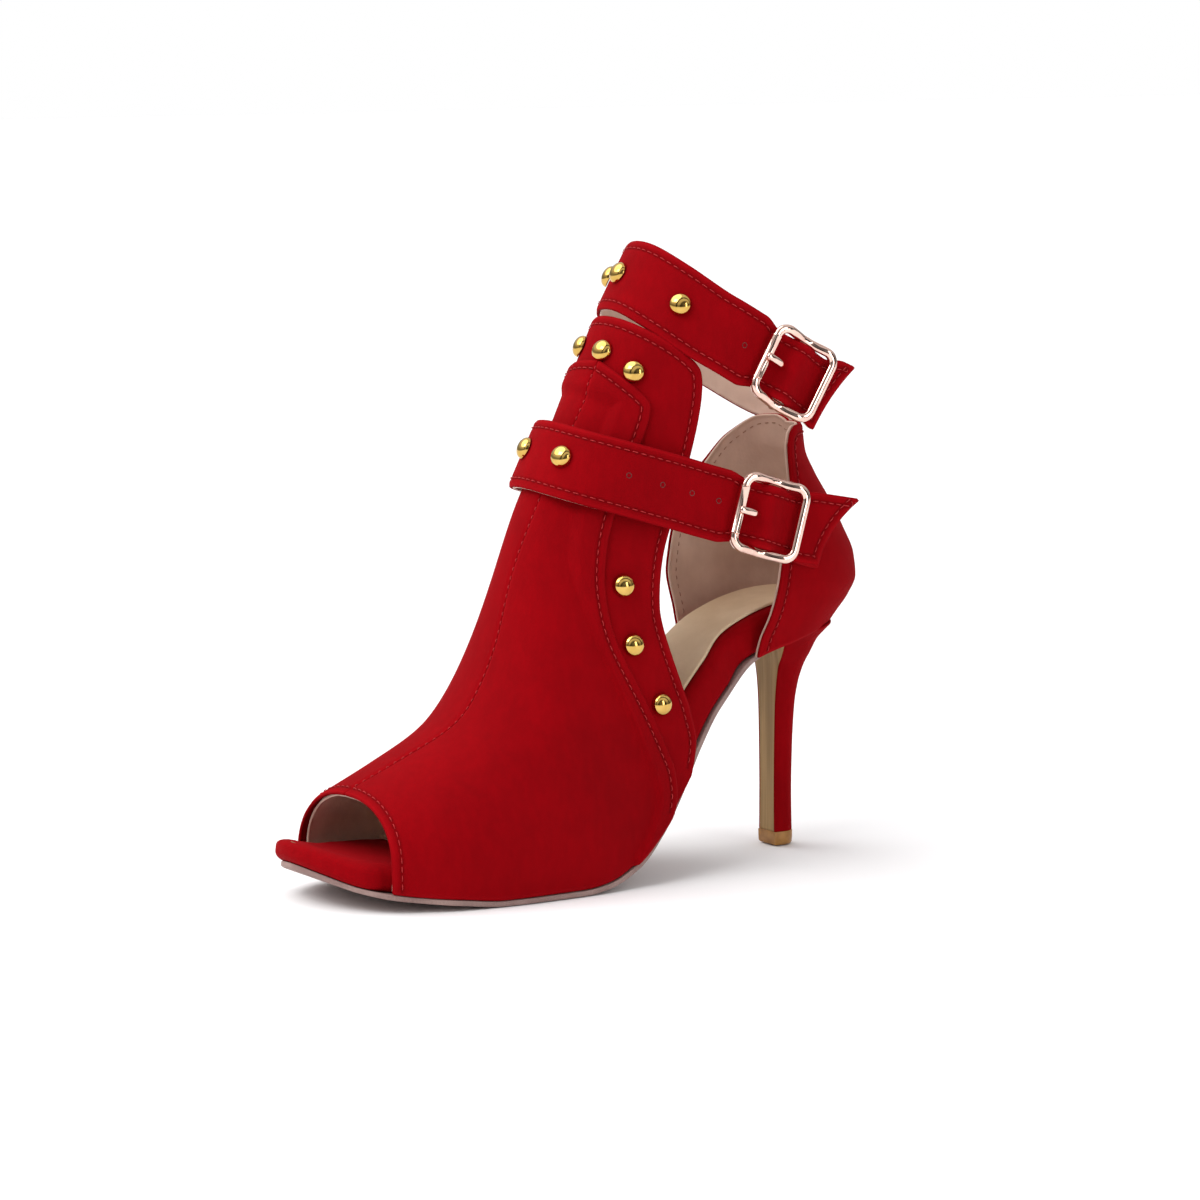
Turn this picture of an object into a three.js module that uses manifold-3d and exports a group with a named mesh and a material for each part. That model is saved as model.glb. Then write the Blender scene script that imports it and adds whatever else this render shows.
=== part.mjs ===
// Left-foot peep-toe shoe boot on a stiletto heel: a cut-away ankle upper held by an ankle strap
// and an instep strap, each closed by a centre-bar buckle with a roller and a prong.
// Millimetres. +Z is up, the toe points to -Y, the outer (buckle) side of the foot is +X.
import * as THREE from 'three';
import { mergeVertices } from 'three/addons/utils/BufferGeometryUtils.js';
import Module from 'manifold-3d';

const wasm = await Module();
wasm.setup();

// ---------- driving dimensions ----------
const GAP = 0.3; // clearance between neighbouring pieces
const TOE_TIP_Y = -113.2;
const TOE_ROUND = 29; // length of the rounded toe end
const BREAST_Y = 76.6; // where the outsole stops against the heel breast
const OUTSOLE_THICK = 1.8;
const PLATFORM_BASE = OUTSOLE_THICK + GAP; // underside of the wrapped platform, above the tread line
const SUEDE_THICK = 1.2;
const LINING_THICK = 1.0;
const WRAP_THICK = 1.0;
const SEAT_HALF_WIDTH = 16.8;
const SEAT_BACK_Y = 95;
const ANKLE_STRAP_HALF_WIDTH = 12.6;
const INSTEP_STRAP_HALF_WIDTH = 11.9;
const STRAP_WAIST_HALF_WIDTH = 10.3; // the strap is drawn in where it passes through its buckle
const STRAP_LINING_THICK = 0.8;
const TOP_PIECE_HEIGHT = 5;
const STUD_RADIUS = 3.9;
const STUD_HEIGHT = 3.0;
const STUD_POST_RADIUS = 0.8;
const STUD_HOLE_RADIUS = 1.15;
const STRAP_HOLE_RADIUS = 1.1;

// Buckle, measured from the centre bar: u runs along the strap to its tail, n outwards.
const BAR_PITCH = 11.8; // centre bar to each outer bar
const RAIL_OFFSET = 12.4; // centre bar's middle to each end rail
const OUTER_BAR_N = 5.0; // outer bars lie above the strap
const CENTRE_BAR_N = 0.6; // the centre bar lies below it
const RAIL_RADIUS = 1.45;
const ROLLER_CORE_RADIUS = 1.1;
const ROLLER_OUTER_RADIUS = 1.85;
const ROLLER_HALF_LENGTH = 8.2;
const CENTRE_BAR_RADIUS = 1.2;
const STRAP_RISE = 3.7; // how far the strap arches over the centre bar
const SLOT_HALF_WIDTH = 1.8; // the strap is slit here to let the prong through
const SLOT_LENGTH = 13.2;
const SLOT_MIDDLE = -2.6; // the slit's middle, ahead of the centre bar
const SLOT_CUTTER_HEIGHT = 12;
const PRONG_RADIUS = 0.75;

// ---------- colours ----------
const SUEDE_RED = 0xa80512;
const LINING_BEIGE = 0xc8a58c;
const SOCK_BEIGE = 0xc3a27e;
const OUTSOLE_BROWN = 0x9a807b;
const BREAST_TAN = 0x9b7d55;
const TOP_PIECE_TAN = 0xbe873c;
const ROSE_GOLD = 0xf0d0bc;
const STUD_GOLD = 0xcaa13c;
const STEEL = 0x9fa3a8;
const BOARD = 0x8a7458;
const HEEL_PLASTIC = 0xd9d2c4;
const STIFFENER = 0xb9a88e;
const PACKING = 0xcdb28a;

const group = new THREE.Group();
group.name = 'high_heel_pump';

function addMesh(name, geometry, color, roughness, metalness) {
  const material = new THREE.MeshStandardMaterial({ color, roughness, metalness });
  const mesh = new THREE.Mesh(geometry, material);
  mesh.name = name;
  group.add(mesh);
  return mesh;
}

// ---------- small maths helpers ----------
const radians = THREE.MathUtils.degToRad;
const lerp = THREE.MathUtils.lerp;
const smoothstep = THREE.MathUtils.smoothstep;
const vec = (x, y, z) => new THREE.Vector3(x, y, z);

// A smooth curve that passes through a few [input, value] pairs without overshooting them.
function through(pairs) {
  const x = pairs.map((p) => p[0]);
  const y = pairs.map((p) => p[1]);
  const last = x.length - 1;
  const slope = [];
  for (let i = 0; i < last; i++) slope.push((y[i + 1] - y[i]) / (x[i + 1] - x[i]));
  const tangent = y.map((_, i) => {
    if (i === 0) return slope[0];
    if (i === last) return slope[last - 1];
    if (slope[i - 1] * slope[i] <= 0) return 0;
    return (2 * slope[i - 1] * slope[i]) / (slope[i - 1] + slope[i]);
  });
  return (at) => {
    const clamped = Math.min(Math.max(at, x[0]), x[last]);
    let i = 0;
    while (i < last - 1 && clamped > x[i + 1]) i++;
    const width = x[i + 1] - x[i];
    const s = (clamped - x[i]) / width;
    const s2 = s * s;
    const s3 = s2 * s;
    return (2 * s3 - 3 * s2 + 1) * y[i] + (s3 - 2 * s2 + s) * width * tangent[i]
      + (3 * s2 - 2 * s3) * y[i + 1] + (s3 - s2) * width * tangent[i + 1];
  };
}

// ---------- solids from grids ----------
// Joins coincident corners and drops the triangles that collapse, so pinched ends close cleanly.
function closedGeometry(positions, triangles) {
  const soup = new THREE.BufferGeometry();
  soup.setAttribute('position', new THREE.Float32BufferAttribute(positions, 3));
  soup.setIndex(triangles);
  const merged = mergeVertices(soup, 1e-4);
  const index = merged.index.array;
  const kept = [];
  for (let i = 0; i < index.length; i += 3) {
    const [a, b, c] = [index[i], index[i + 1], index[i + 2]];
    if (a !== b && b !== c && a !== c) kept.push(a, b, c);
  }
  merged.setIndex(kept);
  merged.computeVertexNormals();
  return merged;
}

// A sheet of material: an outer and an inner surface sampled on one grid, joined round the rim.
function sheet(rows, cols, outer, inner) {
  const positions = [];
  const triangles = [];
  const stride = cols + 1;
  const count = (rows + 1) * stride;
  for (const surface of [outer, inner]) {
    for (let i = 0; i <= rows; i++) {
      for (let j = 0; j <= cols; j++) positions.push(...surface(i, j).toArray());
    }
  }
  const quad = (a, b, c, d) => triangles.push(a, b, c, a, c, d);
  for (let i = 0; i < rows; i++) {
    for (let j = 0; j < cols; j++) {
      const a = i * stride + j;
      quad(a, a + 1, a + 1 + stride, a + stride);
      quad(count + a, count + a + stride, count + a + 1 + stride, count + a + 1);
    }
  }
  for (let i = 0; i < rows; i++) {
    const left = i * stride;
    const right = left + cols;
    quad(left, left + stride, count + left + stride, count + left);
    quad(right, count + right, count + right + stride, right + stride);
  }
  for (let j = 0; j < cols; j++) {
    const far = rows * stride + j;
    quad(j, count + j, count + j + 1, j + 1);
    quad(far, far + 1, count + far + 1, count + far);
  }
  return faceOut(closedGeometry(positions, triangles));
}

// Stacks equal-length closed outlines into one solid with flat-fanned ends.
function loft(outlines) {
  const positions = [];
  const triangles = [];
  const n = outlines[0].length;
  for (const outline of outlines) {
    for (const point of outline) positions.push(...point.toArray());
  }
  for (let i = 0; i < outlines.length - 1; i++) {
    for (let j = 0; j < n; j++) {
      const k = (j + 1) % n;
      const [a, b, c, d] = [i * n + j, i * n + k, (i + 1) * n + k, (i + 1) * n + j];
      triangles.push(a, b, c, a, c, d);
    }
  }
  for (const end of [0, outlines.length - 1]) {
    const middle = new THREE.Vector3();
    for (const point of outlines[end]) middle.addScaledVector(point, 1 / n);
    positions.push(...middle.toArray());
    const hub = positions.length / 3 - 1;
    for (let j = 0; j < n; j++) {
      const k = (j + 1) % n;
      if (end === 0) triangles.push(hub, end * n + k, end * n + j);
      else triangles.push(hub, end * n + j, end * n + k);
    }
  }
  return faceOut(closedGeometry(positions, triangles));
}

// A tube of varying radius round a closed centre line.
function ringTube(centres, sides, radiusAt) {
  const n = centres.length;
  const positions = [];
  const triangles = [];
  const outwards = vec(0, 0, 1);
  centres.forEach((centre, i) => {
    const ahead = centres[(i + 1) % n].clone().sub(centres[(i + n - 1) % n]).normalize();
    const sideways = outwards.clone().cross(ahead).normalize();
    const up = ahead.clone().cross(sideways);
    for (let j = 0; j < sides; j++) {
      const angle = ((j + 0.5) / sides) * 2 * Math.PI;
      const point = centre.clone()
        .addScaledVector(sideways, radiusAt(centre) * Math.cos(angle))
        .addScaledVector(up, radiusAt(centre) * Math.sin(angle));
      positions.push(...point.toArray());
    }
  });
  for (let i = 0; i < n; i++) {
    for (let j = 0; j < sides; j++) {
      const i2 = (i + 1) % n;
      const j2 = (j + 1) % sides;
      const [a, b, c, d] = [i * sides + j, i2 * sides + j, i2 * sides + j2, i * sides + j2];
      triangles.push(a, b, c, a, c, d);
    }
  }
  return faceOut(closedGeometry(positions, triangles));
}

// Turns the faces round when the signed volume says that they point inwards.
function faceOut(geometry) {
  const p = geometry.getAttribute('position');
  const index = geometry.index.array;
  const corner = (i) => new THREE.Vector3().fromBufferAttribute(p, index[i]);
  let volume = 0;
  for (let i = 0; i < index.length; i += 3) {
    volume += corner(i).dot(corner(i + 1).cross(corner(i + 2)));
  }
  if (volume > 0) return geometry;
  const turned = Array.from(index);
  for (let i = 0; i < turned.length; i += 3) {
    [turned[i + 1], turned[i + 2]] = [turned[i + 2], turned[i + 1]];
  }
  geometry.setIndex(turned);
  geometry.computeVertexNormals();
  return geometry;
}

// ---------- joining and cutting ----------
function toSolid(geometry) {
  const bare = new THREE.BufferGeometry();
  bare.setAttribute('position', geometry.getAttribute('position').clone());
  if (geometry.index) bare.setIndex(geometry.index.clone());
  const merged = mergeVertices(bare, 1e-4);
  return new wasm.Manifold(new wasm.Mesh({
    numProp: 3,
    vertProperties: new Float32Array(merged.getAttribute('position').array),
    triVerts: new Uint32Array(merged.index.array),
  }));
}

function fromSolid(solid) {
  const mesh = solid.getMesh();
  const geometry = new THREE.BufferGeometry();
  geometry.setAttribute('position', new THREE.BufferAttribute(mesh.vertProperties, 3));
  geometry.setIndex(new THREE.BufferAttribute(mesh.triVerts, 1));
  return geometry;
}

function cut(geometry, cutters) {
  let solid = toSolid(geometry);
  for (const cutter of cutters) solid = solid.subtract(toSolid(cutter));
  return fromSolid(solid);
}

function join(pieces) {
  let solid = toSolid(pieces[0]);
  for (const piece of pieces.slice(1)) solid = solid.add(toSolid(piece));
  return fromSolid(solid);
}

// A rod of the given radius from one point to another.
function rod(from, to, radius, sides = 14) {
  const axis = to.clone().sub(from);
  const geometry = new THREE.CylinderGeometry(radius, radius, axis.length(), sides);
  const turn = new THREE.Quaternion().setFromUnitVectors(vec(0, 1, 0), axis.clone().normalize());
  geometry.applyQuaternion(turn);
  geometry.translate(...from.clone().lerp(to, 0.5).toArray());
  return geometry;
}

// ---------- sole: tread line, outline and thickness ----------
const treadHeight = through([
  [-115, 14], [-108, 10], [-100, 6.4], [-90, 4.1], [-70, 1.5], [-54, 0], [-24, 0], [-13, 1.3], [0, 6.5],
  [12, 16.4], [22, 28.6], [32, 42.6], [43, 55], [61, 69], [76, 73.6], [88, 76.4], [112, 81],
]);
const soleCentre = through([[-115, -8], [-90, -1], [-60, 0.5], [-20, 1.5], [20, 3.5], [60, 0], [90, 0]]);
const soleHalfWidth = through([
  [-115, 31.5], [-90, 30.5], [-70, 36], [-41, 38.5], [-20, 38], [0, 34.5], [12, 30.5], [22, 27],
  [32, 23.8], [43, 21.2], [61, 19.4], [76, 19],
]);
const platformTop = through([
  [-115, 9.8], [-90, 11.2], [-40, 12], [0, 14], [28, 14.6], [45, 14.3], [60, 14.4], [72, 14.8], [84, 14.2],
  [105, 13.6],
]);

// How much of its width is left to a layer as its end rounds off, `into` counting from 0 to 1.
const rounding = (into) => (into <= 0 ? 1 : Math.sqrt(Math.max(0, 1 - into * into)));

// The unit direction that stands square on the tread line at y.
function treadNormal(y) {
  const step = 0.5;
  const slope = (treadHeight(y + step) - treadHeight(y - step)) / (2 * step);
  const rise = slope * lerp(0.25, 1, smoothstep(y, -95, -60)); // the toe's edge stays upright
  return vec(0, -rise, 1).normalize();
}

// A point at x, standing `height` above the tread line at y.
function aboveTread(x, y, height) {
  return vec(x, y, treadHeight(y)).addScaledVector(treadNormal(y), height);
}

// The z of the surface that stands `height` above the tread line, at y.
function surfaceZ(y, height) {
  let foot = y;
  for (let i = 0; i < 6; i++) foot += y - aboveTread(0, foot, height).y;
  return aboveTread(0, foot, height).z;
}

// Where a layer that sits `inset` inside the sole's outline starts and ends across the sole at y.
function layerEdges(y, inset, heelBack) {
  const centre = soleCentre(y);
  const here = inset(y);
  const toe = rounding((TOE_TIP_Y + TOE_ROUND - y) / (TOE_ROUND - inset(TOE_TIP_Y)));
  const edge = (side, seatStart, seatEnd) => {
    let half = soleHalfWidth(y) - here;
    if (!heelBack) return centre + side * half * toe;
    half = lerp(half, SEAT_HALF_WIDTH - here, smoothstep(y, seatStart, seatEnd));
    const heel = rounding((y - SEAT_BACK_Y + SEAT_HALF_WIDTH) / (SEAT_HALF_WIDTH - inset(SEAT_BACK_Y)));
    return centre + side * half * toe * heel;
  };
  return [edge(-1, 43, 52), edge(1, 49, 58)];
}

// Every layer is drawn through these stations along the sole, so that neighbours stay parallel.
const SOLE_STATIONS = [-113.6, -112, -109.5, -106, -101, -96, -92, -88, -80, -68, -54, -42, -32, -24, -15, -7,
  0, 7, 14, 21, 28, 35, 42, 49, 56, 63, 70, 77, 82, 86, 89.5, 92, 93.6];
const stationsBetween = (from, to) =>
  [from, ...SOLE_STATIONS.filter((y) => y > from + 0.5 && y < to - 0.5), to];

// A layer of the sole between two heights above the tread line, with an optional rounded top edge.
function soleLayer({ from, to, inset, bottom, top, round = 0, wholeFoot = false }) {
  const stations = stationsBetween(from, to);
  const shares = round ? [0, 0.02, 0.09, 0.5, 0.91, 0.98, 1] : [0, 1];
  const place = (height, edgeRound) => (i, j) => {
    const y = stations[i];
    const [low, high] = layerEdges(y, inset, wholeFoot);
    const x = lerp(low, high, shares[j]);
    const fromEdge = Math.min(x - low, high - x);
    const radius = Math.min(edgeRound, (high - low) / 2);
    const drop = radius ? radius * (1 - rounding((radius - fromEdge) / radius)) : 0;
    return aboveTread(x, y, height(y) - 0.85 * drop);
  };
  return sheet(stations.length - 1, shares.length - 1, place(top, round), place(bottom, 0));
}

const upperStart = -92; // the upper covers the platform's edge from here...
const upperEnd = 31; // ...to here
const underUpper = (y) => 3.9 * smoothstep(y, upperStart - 8, upperStart)
  * (1 - smoothstep(y, upperEnd - 6, upperEnd + 2));

// ---------- fore part of the upper ----------
// The upper is a fan of arched sections. Each runs from the front ridge to the widest line of the
// foot and on down to the edge of the sole. Section numbers count from the toe opening to the ankle.
const numbered = (values) => through(values.map((value, i) => [i, value]));
const ridgeY = numbered([-92.3, -72.4, -52.4, -39.4, -32.5, -23.5, -11, 1, 11.5, 22]);
const ridgeZ = numbered([36.2, 45.6, 58.4, 80.5, 105, 128, 150, 172, 193, 214]);
const widestY = numbered([-94.5, -71, -46, -20, 6, 24, 40, 50, 54, 58]);
const widestZ = numbered([14.5, 13.5, 12.5, 15, 30, 62, 103, 138, 165, 186]);
const footY = numbered([-95, -71.5, -46, -19.5, 11.5, 39, 50, 60, 70, 80]);
const upperHalfWidth = numbered([29.6, 36.6, 39.1, 38.6, 33.2, 31, 30.5, 30.5, 30.5, 30.5]);
const upperCentre = numbered([-1.5, 0, 1, 1.5, 2.6, 1.5, 0.5, 0, 0, 0]);
const ARCH_POWER = 2 / 2.2; // a slightly squared ellipse
const FOOT_ANGLE = 120; // angles from 90 to 120 degrees run down the wall to the sole

function archPoint(section, degrees) {
  const side = Math.sign(degrees);
  const size = Math.abs(degrees);
  const centre = upperCentre(section);
  const half = upperHalfWidth(section);
  if (size <= 90) {
    const forward = Math.cos(radians(size)) ** ARCH_POWER;
    const outward = Math.sin(radians(size)) ** ARCH_POWER;
    return vec(centre + side * half * outward,
      lerp(widestY(section), ridgeY(section), forward),
      lerp(widestZ(section), ridgeZ(section), forward));
  }
  const down = (size - 90) / (FOOT_ANGLE - 90);
  const foot = aboveTread(0, footY(section), PLATFORM_BASE);
  return vec(centre + side * (half - 0.8 * down * down),
    lerp(widestY(section), foot.y, down),
    lerp(widestZ(section), foot.z, down));
}

// The arch moved outwards, square to itself.
function archOffset(section, degrees, offset) {
  const step = 0.02;
  const along = archPoint(section + step, degrees).sub(archPoint(section - step, degrees));
  const around = archPoint(section, degrees + 1).sub(archPoint(section, degrees - 1));
  const normal = around.cross(along).normalize();
  return archPoint(section, degrees).addScaledVector(normal, offset);
}

// Each row below is [section at the middle edge, section at the outer edge, angle at the outer edge].
const VAMP_ROWS = [
  [0, 0, 119], [1, 1, 119], [2, 2, 119], [3, 3, 119], [3.7, 3.7, 119], [4.12, 4.12, 118],
  [4.33, 4.34, 98], [4.5, 4.45, 80], [4.7, 4.55, 62], [5, 4.93, 50.5], [5.6, 5.6, 45.5],
  [6.2, 6.2, 45.5], [6.7, 6.68, 45.5], [7, 6.93, 44], [7.17, 7.01, 38],
];
const LINING_ROWS = [
  [0.02, 0.02, 119], [1, 1, 119], [2, 2, 119], [3, 3, 119], [4, 4, 119], [4.4, 4.45, 118],
  [4.62, 4.7, 107], [4.9, 4.92, 90], [5.25, 5.25, 72.5], [5.8, 5.8, 67], [6.7, 6.7, 66],
  [7.3, 7.3, 65], [7.7, 7.66, 62.5], [7.86, 7.82, 52],
];
// [inner section, inner angle, outer section, outer angle] from the sole up to the centre front.
const STUD_PANEL_ROWS = [
  [3.86, 119, 4.46, 118], [4.02, 103, 4.7, 106], [4.15, 84, 4.93, 89.5], [4.35, 62, 5.27, 72],
  [4.75, 43, 5.78, 67], [5.5, 36, 6.3, 66.5], [6.2, 35, 6.85, 66], [6.55, 33, 7.35, 65],
  [6.73, 28, 7.72, 61.5], [6.82, 20, 7.83, 48], [6.86, 10, 7.86, 24], [6.87, 0, 7.87, 0],
];

// How far a point of the vamp is raised to lie over the stud panel beneath it.
const panelInnerAngle = through([[3.7, 119], [4.02, 103], [4.35, 62], [4.75, 43], [5.5, 36], [7, 34]]);
function overPanel(section, degrees) {
  const inner = panelInnerAngle(section);
  const side = section > 3.6 ? smoothstep(Math.abs(degrees), inner - 26, inner - 9) : 0;
  const top = smoothstep(section, 6.5, 6.8);
  return (SUEDE_THICK + 3 * GAP) * Math.max(side, top);
}

// Reads a table of rows at `count` even steps from its first row to its last.
const rowsOf = (table, count) => {
  const columns = table[0].map((_, k) => through(table.map((row, r) => [r, row[k]])));
  return (i, k) => columns[k]((i / count) * (table.length - 1));
};

// The centre-front seam lies a little to the outer side of the ridge.
const seamAngle = through([[0, -2], [0.8, -1], [2.3, 5], [4, 4.5], [5, 8], [7.2, 10]]);

function vampPanel(side, seamGap) {
  const rows = 19;
  const cols = 8;
  const rowAt = rowsOf(VAMP_ROWS, rows);
  const place = (depth) => (i, j) => {
    const v = j / cols;
    const middle = rowAt(i, 0);
    const seam = seamAngle(middle) + side * seamGap;
    const toeLean = side * 0.13 * (1 - smoothstep(middle, 0, 1)); // the opening runs back on the outer side
    const section = lerp(middle, rowAt(i, 1) + Math.max(0, toeLean), v);
    const degrees = lerp(seam, side * rowAt(i, 2), v);
    return archOffset(section, degrees, overPanel(section, degrees) - depth);
  };
  return sheet(rows, cols, place(0), place(SUEDE_THICK));
}

function studPanelSheet() {
  const half = 16;
  const cols = 3;
  const fromSole = rowsOf(STUD_PANEL_ROWS, half);
  const rowAt = (i, k) => fromSole(half - Math.abs(i - half), k);
  const place = (depth) => (i, j) => {
    const v = j / cols;
    const side = i <= half ? -1 : 1;
    const section = lerp(rowAt(i, 0), rowAt(i, 2), v);
    const degrees = side * lerp(rowAt(i, 1), rowAt(i, 3), v);
    return archOffset(section, degrees, -depth);
  };
  return sheet(2 * half, cols, place(0), place(SUEDE_THICK));
}

const LINING_OUTSIDE = SUEDE_THICK + 3.2 * GAP;
function vampLiningSheet() {
  const rows = 17;
  const cols = 14;
  const rowAt = rowsOf(LINING_ROWS, rows);
  const place = (depth) => (i, j) => {
    const v = (2 * j) / cols - 1;
    const section = lerp(rowAt(i, 0), rowAt(i, 1), Math.abs(v));
    return archOffset(section, v * rowAt(i, 2), -depth);
  };
  return sheet(rows, cols, place(LINING_OUTSIDE), place(LINING_OUTSIDE + LINING_THICK));
}

// ---------- counter: the cup round the heel of the foot ----------
const counterBack = through([
  [68, 93], [74, 96], [79, 99.4], [84, 103.2], [90, 108], [96, 110.8], [104, 109.8], [113, 105.6],
  [124, 99.4], [134, 93], [142, 89.2], [154, 87.8],
]);
const counterHalfWidth = through([
  [68, 20], [76, 21.6], [82, 23.6], [90, 26], [98, 27.2], [106, 27], [116, 26], [126, 24.6],
  [136, 23.6], [154, 23],
]);
const counterRound = (z) => counterHalfWidth(z) * 1.12; // front-to-back depth of the rounded end
const outerFrontY = through([
  [64, 60], [77, 61.5], [85, 63.5], [95, 65], [104, 66.5], [118, 70], [133, 72.4], [152, 73],
]);
const innerFrontY = through([[64, 54], [84, 54.5], [96, 53.5], [106, 54.5], [128, 57.5], [152, 58]]);

// reach is 0 at the back seam and 1 at the front edge: first round the back, then straight forward.
function counterPoint(side, reach, z, offset) {
  const half = counterHalfWidth(z) + offset;
  const depth = counterRound(z) + offset;
  const middle = counterBack(z) - counterRound(z);
  const front = side > 0 ? outerFrontY(z) : innerFrontY(z);
  const lastAngle = front < middle ? Math.PI / 2 : Math.acos((front - middle) / counterRound(z));
  const roundLength = lastAngle * counterRound(z);
  const straightLength = Math.max(0, middle - front);
  const along = reach * (roundLength + straightLength);
  if (along <= roundLength) {
    const angle = along / counterRound(z);
    return vec(side * half * Math.sin(angle), middle + depth * Math.cos(angle), z);
  }
  return vec(side * half, middle - (along - roundLength), z);
}

const outerTop = through([[0, 150], [0.5, 150.5], [0.82, 150.3], [0.94, 148.5], [1, 144.5]]);
const innerTop = through([
  [0, 150.5], [0.15, 152], [0.31, 151.5], [0.6, 145], [0.8, 136], [0.93, 129.5], [1, 123.5],
]);
const COUNTER_ROWS = 8;
const COUNTER_COLUMNS = 9; // to each side of the back seam

// A layer of the counter, from the seat up to its top line. Fewer rows or columns make it smaller.
function counterSheet({ outside, inside, rows = COUNTER_ROWS, columns = COUNTER_COLUMNS }) {
  const place = (offsetAt) => (i, j) => {
    const side = j < columns ? -1 : 1;
    const reach = Math.abs(j - columns) / COUNTER_COLUMNS;
    let bottom = 76;
    for (let k = 0; k < 12; k++) bottom = surfaceZ(counterPoint(side, reach, bottom, 0).y, PLATFORM_BASE);
    const z = lerp(bottom, (side > 0 ? outerTop : innerTop)(reach), i / COUNTER_ROWS);
    return counterPoint(side, reach, z, offsetAt(z, reach));
  };
  return sheet(rows, 2 * columns, place(outside), place(inside));
}

// The stiffener sits between outer and lining; above it the lining closes up to the outer.
const STIFFENER_THICK = 1.1;
const stiffenerSpread = (z, reach) => (STIFFENER_THICK + GAP)
  * (1 - smoothstep(z, 128, 140)) * (1 - smoothstep(reach, 0.74, 0.9));

// ---------- heel ----------
const heelFront = through([[0, 78.8], [50, 78.4], [64, 78.2], [70, 77.6], [76, 76.8], [84, 76.4]]);
const heelBack = through([[0, 88.4], [20, 88], [35, 88.2], [50, 89], [58, 90.3], [64, 92.2], [69, 94.2],
  [74, 95.9], [79, 98], [84, 101]]);
const heelHalfWidth = through([[0, 5.4], [20, 5.2], [35, 5.4], [50, 5.9], [58, 6.7], [64, 8], [69, 10.8],
  [74, 14], [78, 18.6], [81, 22], [86, 25]]);

// One point of the heel's D-shaped section; angle 0 is the back, 180 the middle of the flat front.
function heelPoint(z, degrees, offset) {
  const half = heelHalfWidth(z) + offset;
  const front = heelFront(z) - offset;
  const back = heelBack(z) + offset;
  const middle = lerp(front, back, 0.45);
  const side = Math.sign(degrees) || 1;
  const size = Math.abs(degrees);
  if (size <= 90) {
    return vec(side * half * Math.sin(radians(size)), middle + (back - middle) * Math.cos(radians(size)), z);
  }
  if (size <= 135) {
    const s = (size - 90) / 45;
    return vec(side * half * (1 - 0.08 * s * s), lerp(middle, front, s), z);
  }
  return vec(side * half * 0.92 * (1 - (size - 135) / 45), front, z);
}

// The heel stops where it meets the underside of the wrapped platform.
function heelTopZ(degrees, offset) {
  let z = 76;
  for (let i = 0; i < 12; i++) z = surfaceZ(heelPoint(z, degrees, offset).y, OUTSOLE_THICK);
  return z;
}

function heelSection(v, degrees, offset, bottom) {
  const z = lerp(bottom, heelTopZ(degrees, offset), v);
  return heelPoint(z, degrees, offset);
}

const heelRows = 12;
const heelRise = (i) => Math.sin(((i / heelRows) * Math.PI) / 2) ** 1.15; // rows crowd towards the flare

function heelBlockGeometry() {
  const columns = 20;
  const outlines = [];
  for (let i = 0; i <= heelRows; i++) {
    const outline = [];
    for (let j = 0; j < columns; j++) {
      const degrees = -180 + (j / columns) * 360;
      outline.push(heelSection(heelRise(i), degrees, -WRAP_THICK - GAP, TOP_PIECE_HEIGHT + GAP));
    }
    outlines.push(outline);
  }
  return loft(outlines);
}

function heelCoverGeometry() {
  const columns = 14;
  const edge = 132;
  const place = (offset) => (i, j) =>
    heelSection(heelRise(i), lerp(-edge, edge, j / columns), offset, TOP_PIECE_HEIGHT + GAP);
  return sheet(heelRows, columns, place(0), place(-WRAP_THICK));
}

function breastCoverGeometry() {
  const columns = 4;
  const place = (offset) => (i, j) => {
    const point = heelSection(heelRise(i), 180, offset, TOP_PIECE_HEIGHT + GAP);
    const half = heelHalfWidth(point.z) * 0.92 - 0.7;
    point.x = lerp(-half, half, j / columns);
    return point;
  };
  return sheet(heelRows, columns, place(0), place(-WRAP_THICK));
}

// ---------- straps ----------
// A strap's centre line: a free curve round the ankle, then a straight run through its buckle.
const STRAIGHT_BEFORE = 17;
function strapPath(curvePoints, buckleCentre, buckleAlong, legAxis, halfWidth) {
  const along = buckleAlong.clone().normalize();
  const joint = buckleCentre.clone().addScaledVector(along, -STRAIGHT_BEFORE);
  const before = joint.clone().addScaledVector(along, -8);
  const curve = new THREE.CatmullRomCurve3([...curvePoints, before, joint], false, 'centripetal');
  const frameAt = (position, tangent) => {
    const height = legAxis.clone().addScaledVector(tangent, -legAxis.dot(tangent)).normalize();
    return { position, tangent, height, outward: tangent.clone().cross(height).normalize() };
  };
  return {
    curve,
    halfWidth,
    centre: frameAt(buckleCentre, along),
    // s from 0 to 1 runs along the free curve; past 1 it counts millimetres from the buckle's centre
    onCurve: (s) => frameAt(curve.getPointAt(s), curve.getTangentAt(s)),
    onStraight: (u) => frameAt(buckleCentre.clone().addScaledVector(along, u), along),
  };
}

const strapArch = (u) => STRAP_RISE * Math.exp(-((u / 5.2) ** 2));
const tailReach = (share, long, short) => lerp(short, long, share ** 2.2);
const drawnIn = (u) => 1 - smoothstep(Math.abs(u), BAR_PITCH - 2.5, STRAIGHT_BEFORE);
const tailLift = (u) => 0.11 * Math.max(0, u - BAR_PITCH); // past the buckle the tail swings upwards

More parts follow.
